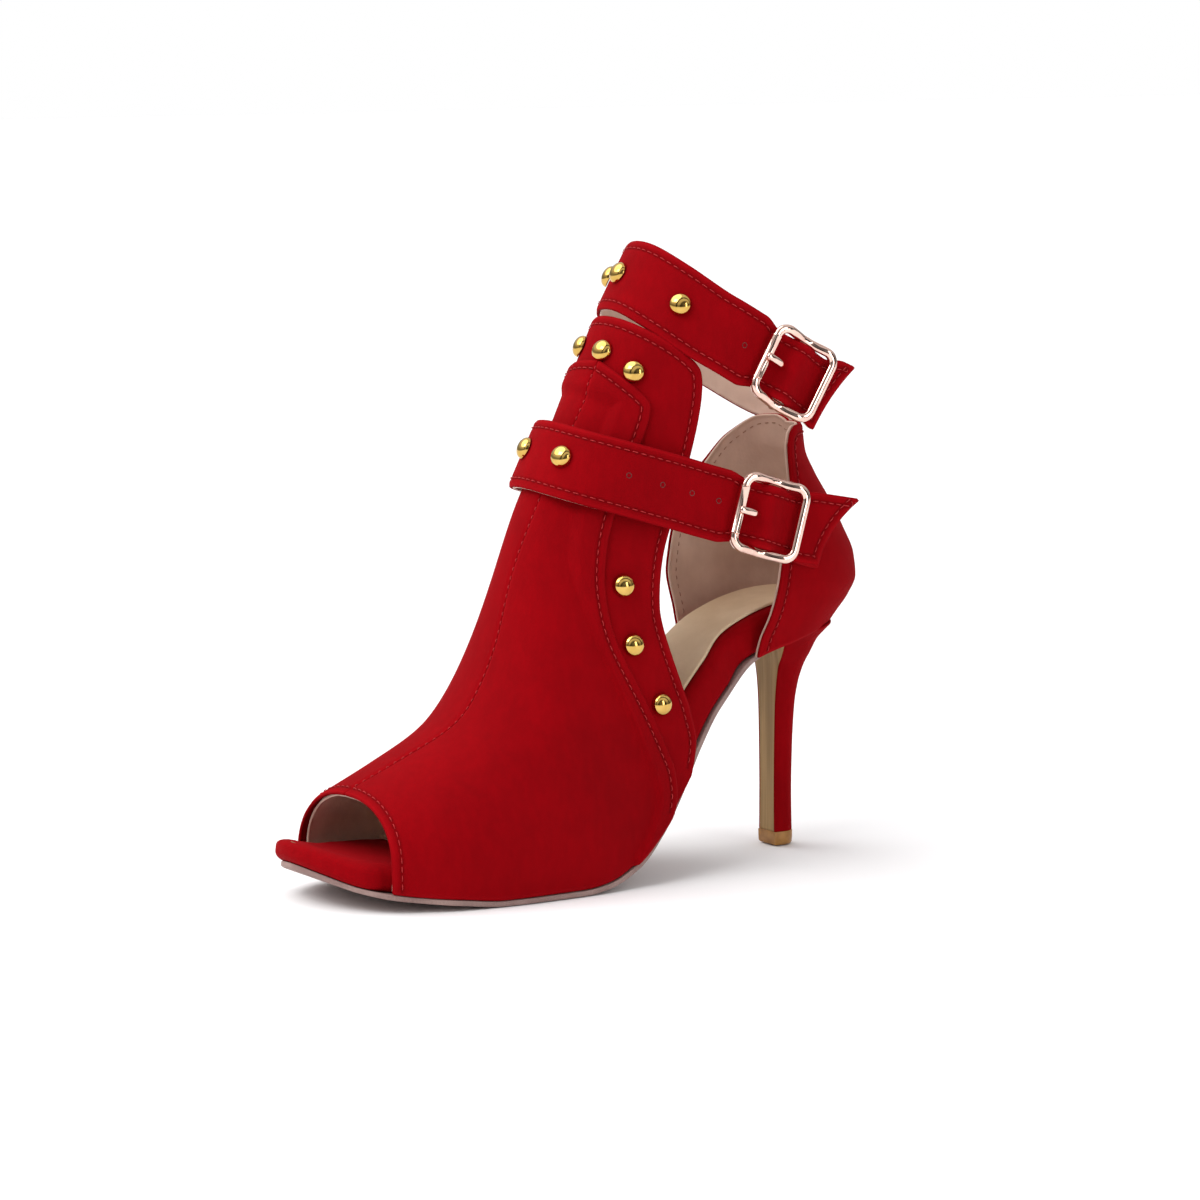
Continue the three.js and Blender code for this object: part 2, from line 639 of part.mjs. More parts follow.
function strapSheet(path, low, high, tail, curveRows, from = 0) {
  const lastStop = 13;
  const straightStops = [-17, -14, -11.5, -9, -6.5, -4.3, -2.2, 0, 2.2, 4.3, 6.5, 9, 11.5, lastStop];
  const cols = 4;
  const rows = curveRows + straightStops.length;
  const place = (offset) => (i, j) => {
    const share = j / cols;
    let half = path.halfWidth;
    let frame;
    let lift = 0;
    let rise = 0;
    if (i < curveRows) {
      frame = path.onCurve(lerp(from, 1, i / curveRows));
    } else {
      const stop = i - curveRows;
      let u = straightStops[Math.min(stop, straightStops.length - 1)];
      if (stop >= straightStops.length - 1) {
        u = lerp(lastStop, tailReach(share, tail[0], tail[1]), stop === straightStops.length ? 1 : 0);
      }
      frame = path.onStraight(u);
      lift = strapArch(u);
      rise = tailLift(u);
      half = lerp(half, STRAP_WAIST_HALF_WIDTH, drawnIn(u));
    }
    return frame.position.clone()
      .addScaledVector(frame.height, lerp(-half, half, share) + rise)
      .addScaledVector(frame.outward, offset + lift);
  };
  return sheet(rows, cols, place(high), place(low));
}

// Puts geometry built in buckle axes (u, v, n) onto the strap.
function ontoBuckle(geometry, path) {
  const { position, tangent, height, outward } = path.centre;
  const matrix = new THREE.Matrix4().makeBasis(tangent, height, outward);
  matrix.setPosition(position.clone().addScaledVector(outward, -STRAP_LINING_THICK));
  return geometry.clone().applyMatrix4(matrix);
}

function buckleFrameGeometry() {
  const corner = 3.2;
  const centres = [];
  const dip = (u) => lerp(OUTER_BAR_N - 2.4, OUTER_BAR_N, smoothstep(Math.abs(u), 1, 9));
  const add = (u, v) => centres.push(vec(u, v, dip(u)));
  const turn = (u, v, start) => {
    for (const step of [0, 30, 60, 90]) {
      const angle = radians(start + step);
      add(u + corner * Math.cos(angle), v + corner * Math.sin(angle));
    }
  };
  turn(BAR_PITCH - corner, RAIL_OFFSET - corner, 0);
  for (const u of [4.5, 1.8, -1.8, -4.5]) add(u, RAIL_OFFSET);
  turn(-BAR_PITCH + corner, RAIL_OFFSET - corner, 90);
  add(-BAR_PITCH, ROLLER_HALF_LENGTH + 0.7);
  add(-BAR_PITCH, ROLLER_HALF_LENGTH + 0.4);
  add(-BAR_PITCH, -ROLLER_HALF_LENGTH - 0.4);
  add(-BAR_PITCH, -ROLLER_HALF_LENGTH - 0.7);
  turn(-BAR_PITCH + corner, -RAIL_OFFSET + corner, 180);
  for (const u of [-4.5, -1.8, 1.8, 4.5]) add(u, -RAIL_OFFSET);
  turn(BAR_PITCH - corner, -RAIL_OFFSET + corner, 270);
  const onRoller = (p) => p.x < -BAR_PITCH + 0.1 && Math.abs(p.y) < ROLLER_HALF_LENGTH + 0.5;
  const ring = ringTube(centres, 8, (p) => (onRoller(p) ? ROLLER_CORE_RADIUS : RAIL_RADIUS));
  const reach = RAIL_OFFSET + 0.4;
  const bar = rod(vec(0, -reach, CENTRE_BAR_N), vec(0, reach, CENTRE_BAR_N), CENTRE_BAR_RADIUS, 16);
  const posts = [-1, 1].map((side) => rod(
    vec(0, side * RAIL_OFFSET, CENTRE_BAR_N), vec(0, side * RAIL_OFFSET, OUTER_BAR_N - 2.2), 1.3, 10));
  return join([ring, bar, ...posts]);
}

function rollerGeometry() {
  const half = ROLLER_HALF_LENGTH;
  const profile = [
    new THREE.Vector2(ROLLER_CORE_RADIUS + 0.3, -half),
    new THREE.Vector2(ROLLER_OUTER_RADIUS, -half),
    new THREE.Vector2(ROLLER_OUTER_RADIUS, half),
    new THREE.Vector2(ROLLER_CORE_RADIUS + 0.3, half),
    new THREE.Vector2(ROLLER_CORE_RADIUS + 0.3, -half),
  ];
  const tube = new THREE.LatheGeometry(profile, 18);
  tube.translate(-BAR_PITCH, 0, OUTER_BAR_N);
  return fromSolid(toSolid(tube));
}

function prongGeometry() {
  const eyeInner = CENTRE_BAR_RADIUS + 0.25;
  const eyeOuter = eyeInner + 0.9;
  const half = 1.2;
  const profile = [
    new THREE.Vector2(eyeInner, -half),
    new THREE.Vector2(eyeOuter, -half),
    new THREE.Vector2(eyeOuter, half),
    new THREE.Vector2(eyeInner, half),
    new THREE.Vector2(eyeInner, -half),
  ];
  const eye = new THREE.LatheGeometry(profile, 18);
  eye.translate(0, 0, CENTRE_BAR_N);
  const rest = OUTER_BAR_N + ROLLER_OUTER_RADIUS + GAP + PRONG_RADIUS;
  const path = new THREE.CatmullRomCurve3([
    vec(-1.7, 0, CENTRE_BAR_N + 0.9), vec(-4.2, 0, CENTRE_BAR_N + 3.5), vec(-7, 0, rest - 1),
    vec(-BAR_PITCH + 1.5, 0, rest), vec(-BAR_PITCH - 1.6, 0, rest + 0.1),
  ]);
  const section = new THREE.Shape();
  section.absarc(0, 0, PRONG_RADIUS, 0, Math.PI * 2);
  const arm = new THREE.ExtrudeGeometry(section, {
    steps: 9, curveSegments: 5, bevelEnabled: false, extrudePath: path,
  });
  return join([eye, arm]);
}

// The folded tab that holds the buckle: its loop turns round the centre bar, its tail is sewn down.
function tabGeometry(path, tailPoints, straight) {
  const loopOuter = CENTRE_BAR_RADIUS + GAP + 1.25;
  const low = CENTRE_BAR_N - loopOuter;
  const high = -GAP - 0.2;
  const half = STRAP_WAIST_HALF_WIDTH;
  const profile = new THREE.Shape();
  profile.moveTo(4, low);
  profile.lineTo(0, low);
  const closes = Math.asin((high - CENTRE_BAR_N) / loopOuter);
  profile.absarc(0, CENTRE_BAR_N, loopOuter, -Math.PI / 2, closes, true);
  profile.lineTo(4, high);
  profile.closePath();
  const hole = new THREE.Path();
  hole.absarc(0, CENTRE_BAR_N, CENTRE_BAR_RADIUS + 0.25, 0, Math.PI * 2);
  profile.holes.push(hole);
  const loop = new THREE.ExtrudeGeometry(profile, { depth: 2 * half, curveSegments: 7, bevelEnabled: false });
  loop.rotateX(Math.PI / 2);
  loop.translate(0, half, 0);
  const notchLength = 8.4; // the loop is slit to let the prong turn
  const notchWidth = 3.4;
  const notch = new THREE.BoxGeometry(notchLength, notchWidth, 9);
  notch.translate(-0.6, 0, CENTRE_BAR_N);
  const notched = cut(loop, [notch]);
  const curve = new THREE.CatmullRomCurve3(
    [path.onStraight(straight).position, ...tailPoints], false, 'centripetal');
  const straightRows = 3;
  const curveRows = 6;
  const place = (n) => (i, j) => {
    let frame;
    if (i <= straightRows) frame = path.onStraight(lerp(3, straight, i / straightRows));
    else {
      const s = (i - straightRows) / curveRows;
      const tangent = curve.getTangentAt(s);
      const axis = path.centre.height;
      const height = axis.clone().addScaledVector(tangent, -axis.dot(tangent)).normalize();
      frame = { position: curve.getPointAt(s), height, outward: tangent.clone().cross(height).normalize() };
    }
    const across = lerp(-half, half, j / 2);
    return frame.position.clone()
      .addScaledVector(frame.height, across)
      .addScaledVector(frame.outward, n - STRAP_LINING_THICK);
  };
  const strip = sheet(straightRows + curveRows, 2, place(high), place(low));
  return join([ontoBuckle(notched, path), strip]);
}

// ---------- studs ----------
function studGeometry() {
  const profile = [
    new THREE.Vector2(0, -SUEDE_THICK - GAP),
    new THREE.Vector2(STUD_POST_RADIUS, -SUEDE_THICK - GAP),
    new THREE.Vector2(STUD_POST_RADIUS, 0),
    new THREE.Vector2(STUD_RADIUS, 0),
  ];
  for (const degrees of [22, 44, 66]) {
    profile.push(new THREE.Vector2(
      STUD_RADIUS * Math.cos(radians(degrees)), 0.35 + (STUD_HEIGHT - 0.35) * Math.sin(radians(degrees))));
  }
  profile.push(new THREE.Vector2(0, STUD_HEIGHT));
  return new THREE.LatheGeometry(profile, 12);
}

// Lays a stud on a surface: `seat` is the foot of its post, `outward` the way it points.
function placeStud(name, seat, outward) {
  const mesh = addMesh(name, studGeometry(), STUD_GOLD, 0.2, 1);
  mesh.position.copy(seat).addScaledVector(outward, GAP);
  mesh.quaternion.setFromUnitVectors(vec(0, 1, 0), outward);
}
const studHole = (seat, outward) => rod(
  seat.clone().addScaledVector(outward, -SUEDE_THICK - 0.6),
  seat.clone().addScaledVector(outward, 1), STUD_HOLE_RADIUS, 10);

function archSeat(section, degrees) {
  const seat = archOffset(section, degrees, 0);
  const outward = archOffset(section, degrees, 1).sub(seat).normalize();
  return { seat, outward };
}

// ---------- assembly: sole ----------
const wrapInset = (y) => 0.4 + underUpper(y);
const outsoleInset = (y) => 0.2 + 2.2 * (1 - smoothstep(y, -104, -88)) + 3.5 * smoothstep(y, 46, 72);
addMesh('outsole', soleLayer({
  from: TOE_TIP_Y + outsoleInset(TOE_TIP_Y), to: BREAST_Y, inset: outsoleInset,
  bottom: () => 0, top: () => OUTSOLE_THICK,
}), OUTSOLE_BROWN, 0.7, 0);

const MARGIN_WIDTH = 7; // the wrap is turned under the platform by this much
const insetBy = (extra) => (y) => wrapInset(y) + extra;
const platformLayer = (extra, bottom, top, round) => soleLayer({
  from: TOE_TIP_Y + wrapInset(TOE_TIP_Y) + extra, to: SEAT_BACK_Y - wrapInset(SEAT_BACK_Y) - extra,
  inset: insetBy(extra), bottom, top, round, wholeFoot: true,
});
const wrapInside = PLATFORM_BASE + WRAP_THICK;
const BOARD_THICK = 2;
const boardTop = (y) => platformTop(y) - WRAP_THICK - GAP;
const CORE_END = 49;
// behind the packing the board thickens into a heel seat that fills the wrap
const boardBottom = (y) =>
  lerp(boardTop(y) - BOARD_THICK, wrapInside + GAP, smoothstep(y, CORE_END + 7.5, CORE_END + 15));
const screwSeat = { y: 81.8, headRadius: 3.2, radius: 1.6, length: 21 };
const nailSpots = [[-7.6, 81], [7.6, 81], [-4.6, 89.6], [4.6, 89.6]];
const nailRadius = 0.9;
const nailHeadRadius = 2;
const intoHeel = (x, y, radius, top, bottom, sides = 12) =>
  rod(aboveTread(x, y, bottom), aboveTread(x, y, top), radius, sides);
const seatTop = boardTop(screwSeat.y);
const fastenerHoles = [
  intoHeel(0, screwSeat.y, screwSeat.radius + GAP, 20, -20),
  intoHeel(0, screwSeat.y, screwSeat.headRadius + GAP, 20, seatTop - 1.5),
];
for (const [x, y] of nailSpots) {
  fastenerHoles.push(intoHeel(x, y, nailRadius + GAP, 20, -12));
  fastenerHoles.push(intoHeel(x, y, nailHeadRadius + GAP, 20, boardTop(y) - 1.1));
}
const marginHoles = nailSpots.map(([x, y]) => intoHeel(x, y, nailRadius + GAP, wrapInside + 0.6, 0));
addMesh('platform_wrap', cut(
  platformLayer(0, () => PLATFORM_BASE, platformTop, 3), [
    platformLayer(WRAP_THICK, () => wrapInside, (y) => platformTop(y) - WRAP_THICK, 2.2),
    platformLayer(MARGIN_WIDTH, () => PLATFORM_BASE - 1, () => wrapInside + 0.5, 0),
    ...marginHoles,
  ]), SUEDE_RED, 0.85, 0);
addMesh('insole_board', cut(platformLayer(WRAP_THICK + 1.5 * GAP, boardBottom, boardTop, 1.9), fastenerHoles),
  BOARD, 0.9, 0);
addMesh('platform_core', soleLayer({
  from: TOE_TIP_Y + wrapInset(TOE_TIP_Y) + WRAP_THICK + 1.5 * GAP, to: CORE_END,
  inset: insetBy(WRAP_THICK + 1.5 * GAP),
  bottom: () => wrapInside + GAP, top: (y) => boardTop(y) - BOARD_THICK - GAP,
  wholeFoot: true,
}), PACKING, 0.9, 0);

const SHANK_HALF_WIDTH = 5;
const shankStations = stationsBetween(-20, 85);
const shankPlace = (height) => (i, j) => aboveTread(
  lerp(-SHANK_HALF_WIDTH, SHANK_HALF_WIDTH, j), shankStations[i], height);
addMesh('steel_shank', cut(
  sheet(shankStations.length - 1, 1, shankPlace(PLATFORM_BASE + 1), shankPlace(PLATFORM_BASE + 0.1)),
  [intoHeel(0, screwSeat.y, screwSeat.radius + GAP, 20, -20)]), STEEL, 0.4, 1);

const sockInset = (y) => 3.8 + underUpper(y) * 0.5;
addMesh('sock_lining', soleLayer({
  from: -64, to: SEAT_BACK_Y - sockInset(SEAT_BACK_Y), inset: sockInset,
  bottom: (y) => platformTop(y) + GAP, top: (y) => platformTop(y) + GAP + 1.1,
  wholeFoot: true,
}), SOCK_BEIGE, 0.8, 0);

// ---------- assembly: heel ----------
const DOWEL_LENGTH = 56;
const dowelRadius = 1.6;
const dowelBore = 0.9;
const tipMiddle = vec(0, 83.4, 0);
const upTo = (z) => tipMiddle.clone().setZ(z);
const heelCutters = [
  rod(upTo(0), upTo(TOP_PIECE_HEIGHT + GAP + DOWEL_LENGTH + GAP), dowelRadius + GAP, 12),
  intoHeel(0, screwSeat.y, screwSeat.radius + GAP, 20, seatTop - screwSeat.length - GAP),
];
for (const [x, y] of nailSpots) heelCutters.push(intoHeel(x, y, nailRadius + GAP, 20, -6 - GAP));
addMesh('heel_block', cut(heelBlockGeometry(), heelCutters), HEEL_PLASTIC, 0.6, 0);
addMesh('heel_cover', heelCoverGeometry(), SUEDE_RED, 0.85, 0);
addMesh('heel_breast_cover', breastCoverGeometry(), BREAST_TAN, 0.65, 0);
const dowel = new THREE.LatheGeometry([
  new THREE.Vector2(dowelBore, 0), new THREE.Vector2(dowelRadius, 0),
  new THREE.Vector2(dowelRadius, DOWEL_LENGTH), new THREE.Vector2(dowelBore, DOWEL_LENGTH),
  new THREE.Vector2(dowelBore, 0),
], 14);
dowel.rotateX(Math.PI / 2);
addMesh('heel_dowel', dowel, STEEL, 0.4, 1).position.copy(upTo(TOP_PIECE_HEIGHT + GAP));

function heelFastener(headRadius, radius, length, headDeep) {
  return new THREE.LatheGeometry([
    new THREE.Vector2(0, -length), new THREE.Vector2(radius * 0.5, -length),
    new THREE.Vector2(radius, -length + 2 * radius), new THREE.Vector2(radius, -headDeep),
    new THREE.Vector2(headRadius, -headDeep), new THREE.Vector2(headRadius, 0), new THREE.Vector2(0, 0),
  ], 12);
}
function placeFastener(name, geometry, x, y) {
  const mesh = addMesh(name, geometry, STEEL, 0.45, 1);
  mesh.position.copy(aboveTread(x, y, boardTop(y) - 0.1));
  mesh.quaternion.setFromUnitVectors(vec(0, 1, 0), treadNormal(y));
}
placeFastener('heel_screw',
  heelFastener(screwSeat.headRadius, screwSeat.radius, screwSeat.length - 0.6, 1), 0, screwSeat.y);
nailSpots.forEach(([x, y], i) => placeFastener(
  'heel_nail_' + (i + 1), heelFastener(nailHeadRadius, nailRadius, boardTop(y) + 5.5, 0.7), x, y));

// The top piece: the wearing pad under the heel, held by a steel pin that runs up into the dowel.
function topPieceGeometry() {
  const outline = (z, offset) => Array.from({ length: 24 }, (_, j) => {
    const point = heelPoint(TOP_PIECE_HEIGHT, -180 + j * 15, offset);
    return point.setZ(z);
  });
  const body = loft([outline(0, -0.5), outline(0.6, 0.1), outline(TOP_PIECE_HEIGHT, 0.2)]);
  return cut(body, [rod(upTo(1.5), upTo(9), 0.55 + 0.25, 10)]);
}
addMesh('top_piece', topPieceGeometry(), TOP_PIECE_TAN, 0.5, 0);
addMesh('top_piece_pin', rod(upTo(1.8), upTo(22), 0.55, 10), STEEL, 0.4, 1);

// ---------- assembly: upper ----------
const seats = {
  stud_panel_front_inner: archSeat(7.4, -17),
  stud_panel_front_middle: archSeat(7.35, 9),
  stud_panel_front_outer: archSeat(7.24, 32),
  stud_panel_side_upper: archSeat(5.1, 58),
  stud_panel_side_middle: archSeat(4.75, 67.5),
  stud_panel_side_lower: archSeat(4.65, 82),
  stud_panel_far_upper: archSeat(5.1, -58),
  stud_panel_far_middle: archSeat(4.75, -67.5),
  stud_panel_far_lower: archSeat(4.65, -82),
};
const panelHoles = Object.values(seats).map(({ seat, outward }) => studHole(seat, outward));
addMesh('vamp_outer_side', vampPanel(1, 0.35), SUEDE_RED, 0.85, 0);
addMesh('vamp_inner_side', vampPanel(-1, 0.35), SUEDE_RED, 0.85, 0);
addMesh('stud_panel', cut(studPanelSheet(), panelHoles), SUEDE_RED, 0.85, 0);
addMesh('vamp_lining', vampLiningSheet(), LINING_BEIGE, 0.7, 0);
for (const [name, { seat, outward }] of Object.entries(seats)) {
  placeStud(name.replace('stud_panel', 'panel_stud'), seat, outward);
}

const linedAt = (depth) => (z, reach) => -depth - stiffenerSpread(z, reach);
const counterInside = SUEDE_THICK + GAP;
addMesh('counter_outer', counterSheet({ outside: () => 0, inside: () => -SUEDE_THICK }), SUEDE_RED, 0.85, 0);
addMesh('counter_stiffener', counterSheet({
  outside: () => -counterInside, inside: () => -counterInside - STIFFENER_THICK,
  rows: COUNTER_ROWS - 3, columns: COUNTER_COLUMNS - 3,
}), STIFFENER, 0.8, 0);
addMesh('counter_lining', counterSheet({
  outside: linedAt(counterInside), inside: linedAt(counterInside + LINING_THICK),
}), LINING_BEIGE, 0.7, 0);

// ---------- assembly: straps ----------
const legAxis = vec(0, 0.5, 0.86).normalize();
const anklePath = strapPath([
  vec(-4, 97, 159), vec(-19, 90, 163.5), vec(-29, 71, 176), vec(-31, 50, 186.5), vec(-24.5, 32, 196.5),
  vec(-12, 22.5, 202.5), vec(3, 20, 203), vec(16, 24.8, 197.1), vec(26, 34.6, 188.1),
], vec(33.7, 62.4, 170.8), vec(0.16, 0.86, -0.52), legAxis, ANKLE_STRAP_HALF_WIDTH);
const instepAxis = vec(0, 0.46, 0.89).normalize();
const instepPath = strapPath([
  vec(-31.5, 66, 122), vec(-34, 48, 126.5), vec(-33.5, 28, 131.5), vec(-29, 7, 137.5), vec(-17.5, -11, 142.5),
  vec(0, -17, 144.5), vec(17.8, -12.2, 142), vec(28.5, 5, 136.5), vec(31.4, 20, 131.9),
], vec(36.7, 50.7, 122.4), vec(0.16, 0.92, -0.28), instepAxis, INSTEP_STRAP_HALF_WIDTH);

// Stud spots are shares of the free curve, hole spots are millimetres from the buckle's centre bar,
// and both sit `above` millimetres over the strap's middle line.
function addStrap(prefix, path, { tail, curveRows, studSpots, holeSpots, above = 0 }) {
  const studFrames = studSpots.map((spot) => {
    const { position, height, outward } = path.onCurve(spot);
    const seat = position.addScaledVector(outward, GAP + SUEDE_THICK).addScaledVector(height, above);
    return { seat, outward };
  });
  const slot = new THREE.BoxGeometry(SLOT_LENGTH, 2 * SLOT_HALF_WIDTH, SLOT_CUTTER_HEIGHT);
  slot.translate(SLOT_MIDDLE, 0, OUTER_BAR_N);
  const across = ({ position, height, outward }) => {
    const middle = position.clone().addScaledVector(height, above);
    return rod(middle.clone().addScaledVector(outward, -3), middle.clone().addScaledVector(outward, 8),
      STRAP_HOLE_RADIUS, 8);
  };
  const curveShare = (u) => 1 + (u + STRAIGHT_BEFORE) / path.curve.getLength();
  const holes = holeSpots.map((u) => across(
    u < -STRAIGHT_BEFORE ? path.onCurve(curveShare(u)) : path.onStraight(u)));
  const cutters = [ontoBuckle(slot, path), ...holes];
  const studHoles = studFrames.map(({ seat, outward }) => studHole(seat, outward));
  const suede = strapSheet(path, GAP, GAP + SUEDE_THICK, tail, curveRows);
  addMesh(prefix + '_strap', cut(suede, [...cutters, ...studHoles]), SUEDE_RED, 0.85, 0);
  addMesh(prefix + '_strap_lining', cut(
    strapSheet(path, -STRAP_LINING_THICK, 0, tail, curveRows), cutters), LINING_BEIGE, 0.7, 0);
  studFrames.forEach(({ seat, outward }, i) => placeStud(prefix + '_stud_' + (i + 1), seat, outward));
  addMesh(prefix + '_buckle_frame', ontoBuckle(buckleFrameGeometry(), path), ROSE_GOLD, 0.22, 1);
  addMesh(prefix + '_buckle_roller', ontoBuckle(rollerGeometry(), path), ROSE_GOLD, 0.18, 1);
  addMesh(prefix + '_buckle_prong', ontoBuckle(prongGeometry(), path), ROSE_GOLD, 0.22, 1);
}
addStrap('ankle', anklePath, {
  tail: [21, 17], curveRows: 17, studSpots: [0.595, 0.665, 0.832], holeSpots: [-20],
});
addStrap('instep', instepPath, {
  tail: [33, 23.5], curveRows: 16, studSpots: [0.54, 0.66], holeSpots: [-53, -41, -29.5, -19], above: 1.2,
});
addMesh('ankle_buckle_tab', tabGeometry(anklePath, [vec(24, 88, 160), vec(9, 97.5, 158)], 14),
  SUEDE_RED, 0.85, 0);
addMesh('instep_buckle_tab', tabGeometry(instepPath, [vec(31.2, 76, 114.2), vec(29.8, 82, 112.6)], 10),
  SUEDE_RED, 0.85, 0);

// The origin lies on the ground, under the middle of the shoe.
const bounds = new THREE.Box3().setFromObject(group, true);
group.position.set(-(bounds.min.x + bounds.max.x) / 2, -(bounds.min.y + bounds.max.y) / 2, -bounds.min.z);
group.updateMatrixWorld(true);
export default group;
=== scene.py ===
import math

import bmesh
import bpy
import numpy as np
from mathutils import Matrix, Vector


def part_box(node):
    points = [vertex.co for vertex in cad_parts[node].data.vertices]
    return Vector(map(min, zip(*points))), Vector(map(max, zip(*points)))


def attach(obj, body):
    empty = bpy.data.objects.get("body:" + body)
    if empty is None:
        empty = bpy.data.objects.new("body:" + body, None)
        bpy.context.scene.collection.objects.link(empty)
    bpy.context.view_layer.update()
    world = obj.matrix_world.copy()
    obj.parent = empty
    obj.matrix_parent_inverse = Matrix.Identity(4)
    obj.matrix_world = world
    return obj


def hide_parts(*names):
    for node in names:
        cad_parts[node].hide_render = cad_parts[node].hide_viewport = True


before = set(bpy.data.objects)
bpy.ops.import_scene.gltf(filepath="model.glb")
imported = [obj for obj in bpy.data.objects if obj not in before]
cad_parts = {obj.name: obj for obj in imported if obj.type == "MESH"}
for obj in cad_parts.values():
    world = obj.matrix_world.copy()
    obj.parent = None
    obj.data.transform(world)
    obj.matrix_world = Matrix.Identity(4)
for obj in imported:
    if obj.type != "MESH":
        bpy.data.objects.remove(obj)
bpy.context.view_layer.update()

# Outsole: one thin moulded sheet of brown-grey rubber, cemented under the whole forepart and arch
# and ending square against the heel breast. Its edge is trimmed and left bare all the way round.
DOWEL_Y = 83.4
dowel_low, dowel_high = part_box("heel_dowel")
ORIGIN = np.array([(dowel_low.x + dowel_high.x) * 500, (dowel_low.y + dowel_high.y) * 500 - DOWEL_Y, 0])
GAP = 0.3
TOE_TIP_Y = -113.2
TOE_ROUND = 29
BREAST_Y = 76.6
OUTSOLE_THICK = 1.8
PLATFORM_BASE = OUTSOLE_THICK + GAP
SEAT_HALF_WIDTH = 16.8
SEAT_BACK_Y = 95


def through(pairs):
    """A smooth curve through a few (input, value) pairs that never overshoots them."""
    x, y = (np.array(column, float) for column in zip(*pairs))
    slope = np.diff(y) / np.diff(x)
    tangent = np.concatenate([slope[:1], np.zeros(len(x) - 2), slope[-1:]])
    for i in range(1, len(x) - 1):
        if slope[i - 1] * slope[i] > 0:
            tangent[i] = 2 * slope[i - 1] * slope[i] / (slope[i - 1] + slope[i])

    def value(at):
        at = np.clip(at, x[0], x[-1])
        i = np.clip(np.searchsorted(x, at, side="right") - 1, 0, len(x) - 2)
        width = x[i + 1] - x[i]
        s = (at - x[i]) / width
        return (
            (2 * s**3 - 3 * s**2 + 1) * y[i]
            + (s**3 - 2 * s**2 + s) * width * tangent[i]
            + (3 * s**2 - 2 * s**3) * y[i + 1]
            + (s**3 - s**2) * width * tangent[i + 1]
        )

    return value


def ease(at, start, end):
    s = np.clip((at - start) / (end - start), 0, 1)
    return s * s * (3 - 2 * s)


def mix(a, b, share):
    return a + (b - a) * share


tread_height = through([
    (-115, 14), (-108, 10), (-100, 6.4), (-90, 4.1), (-70, 1.5), (-54, 0), (-24, 0), (-13, 1.3), (0, 6.5),
    (12, 16.4), (22, 28.6), (32, 42.6), (43, 55), (61, 69), (76, 73.6), (88, 76.4), (112, 81),
])
sole_centre = through([(-115, -8), (-90, -1), (-60, 0.5), (-20, 1.5), (20, 3.5), (60, 0), (90, 0)])
sole_half_width = through([
    (-115, 31.5), (-90, 30.5), (-70, 36), (-41, 38.5), (-20, 38), (0, 34.5), (12, 30.5), (22, 27),
    (32, 23.8), (43, 21.2), (61, 19.4), (76, 19),
])


def unit(vectors):
    return vectors / np.maximum(np.linalg.norm(vectors, axis=-1, keepdims=True), 1e-9)


def stacked(x, y, z):
    return np.stack(np.broadcast_arrays(x, y, z), -1).astype(float)


def above_tread(x, y, height):
    """Points at x that stand `height` square above the tread line at y."""
    slope = (tread_height(y + 0.5) - tread_height(y - 0.5)) * mix(0.25, 1, ease(y, -95, -60))
    long = np.sqrt(slope**2 + 1)
    return stacked(x, y - slope / long * height, tread_height(y) + height / long)


def surface_z(y, height):
    foot = np.array(y, float)
    for _ in range(6):
        foot = foot + y - above_tread(0, foot, height)[..., 1]
    return above_tread(0, foot, height)[..., 2]


SIDE_STEPS = 150


def sole_outline(inset, start=None, end=None):
    """The outline of a layer that sits `inset` inside the sole: x and y, from the back round the toe."""
    turn = np.linspace(0, math.pi / 2, 26)
    if start is None:
        toe_inset = inset(TOE_TIP_Y)
        first = TOE_TIP_Y + toe_inset + (TOE_ROUND - toe_inset) * (1 - np.cos(turn))
    else:
        first = np.array([start])
    if end is None:
        seat_inset = inset(SEAT_BACK_Y)
        last = SEAT_BACK_Y - SEAT_HALF_WIDTH + (SEAT_HALF_WIDTH - seat_inset) * np.sin(turn)
    else:
        last = np.array([end])
    y = np.concatenate([first, np.linspace(first[-1], last[0], SIDE_STEPS)[1:-1], last])
    here = inset(y)

    def shrink(into):
        return np.where(into <= 0, 1, np.sqrt(np.clip(1 - into**2, 0, 1)))

    toe = shrink((TOE_TIP_Y + TOE_ROUND - y) / (TOE_ROUND - inset(TOE_TIP_Y))) if start is None else 1
    sides = []
    for side, seat_start in ((-1, 43), (1, 49)):
        half = sole_half_width(y) - here
        if end is None:
            half = mix(half, SEAT_HALF_WIDTH - here, ease(y, seat_start, seat_start + 9))
            half = half * shrink((y - SEAT_BACK_Y + SEAT_HALF_WIDTH) / (SEAT_HALF_WIDTH - inset(SEAT_BACK_Y)))
        sides.append(sole_centre(y) + side * half * toe)
    x = np.concatenate([sides[0][::-1], sides[1]])
    return x, np.concatenate([y[::-1], y])


def piece(name, points, faces, material, body, nodes, sharp=50):
    """A mesh from millimetre points in the shoe's own axes, riding on a body in place of CAD nodes."""
    mesh = bpy.data.meshes.new(name)
    mesh.from_pydata(((np.asarray(points) + ORIGIN) * 0.001).tolist(), [], faces)
    work = bmesh.new()
    work.from_mesh(mesh)
    bmesh.ops.remove_doubles(work, verts=work.verts, dist=2e-6)
    bmesh.ops.recalc_face_normals(work, faces=work.faces)
    work.to_mesh(mesh)
    work.free()
    mesh.shade_smooth()
    mesh.set_sharp_from_angle(angle=math.radians(sharp))
    made = bpy.data.objects.new(name, mesh)
    bpy.context.scene.collection.objects.link(made)
    mesh.materials.append(material)
    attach(made, body)
    if nodes:
        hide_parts(*nodes)
    return made


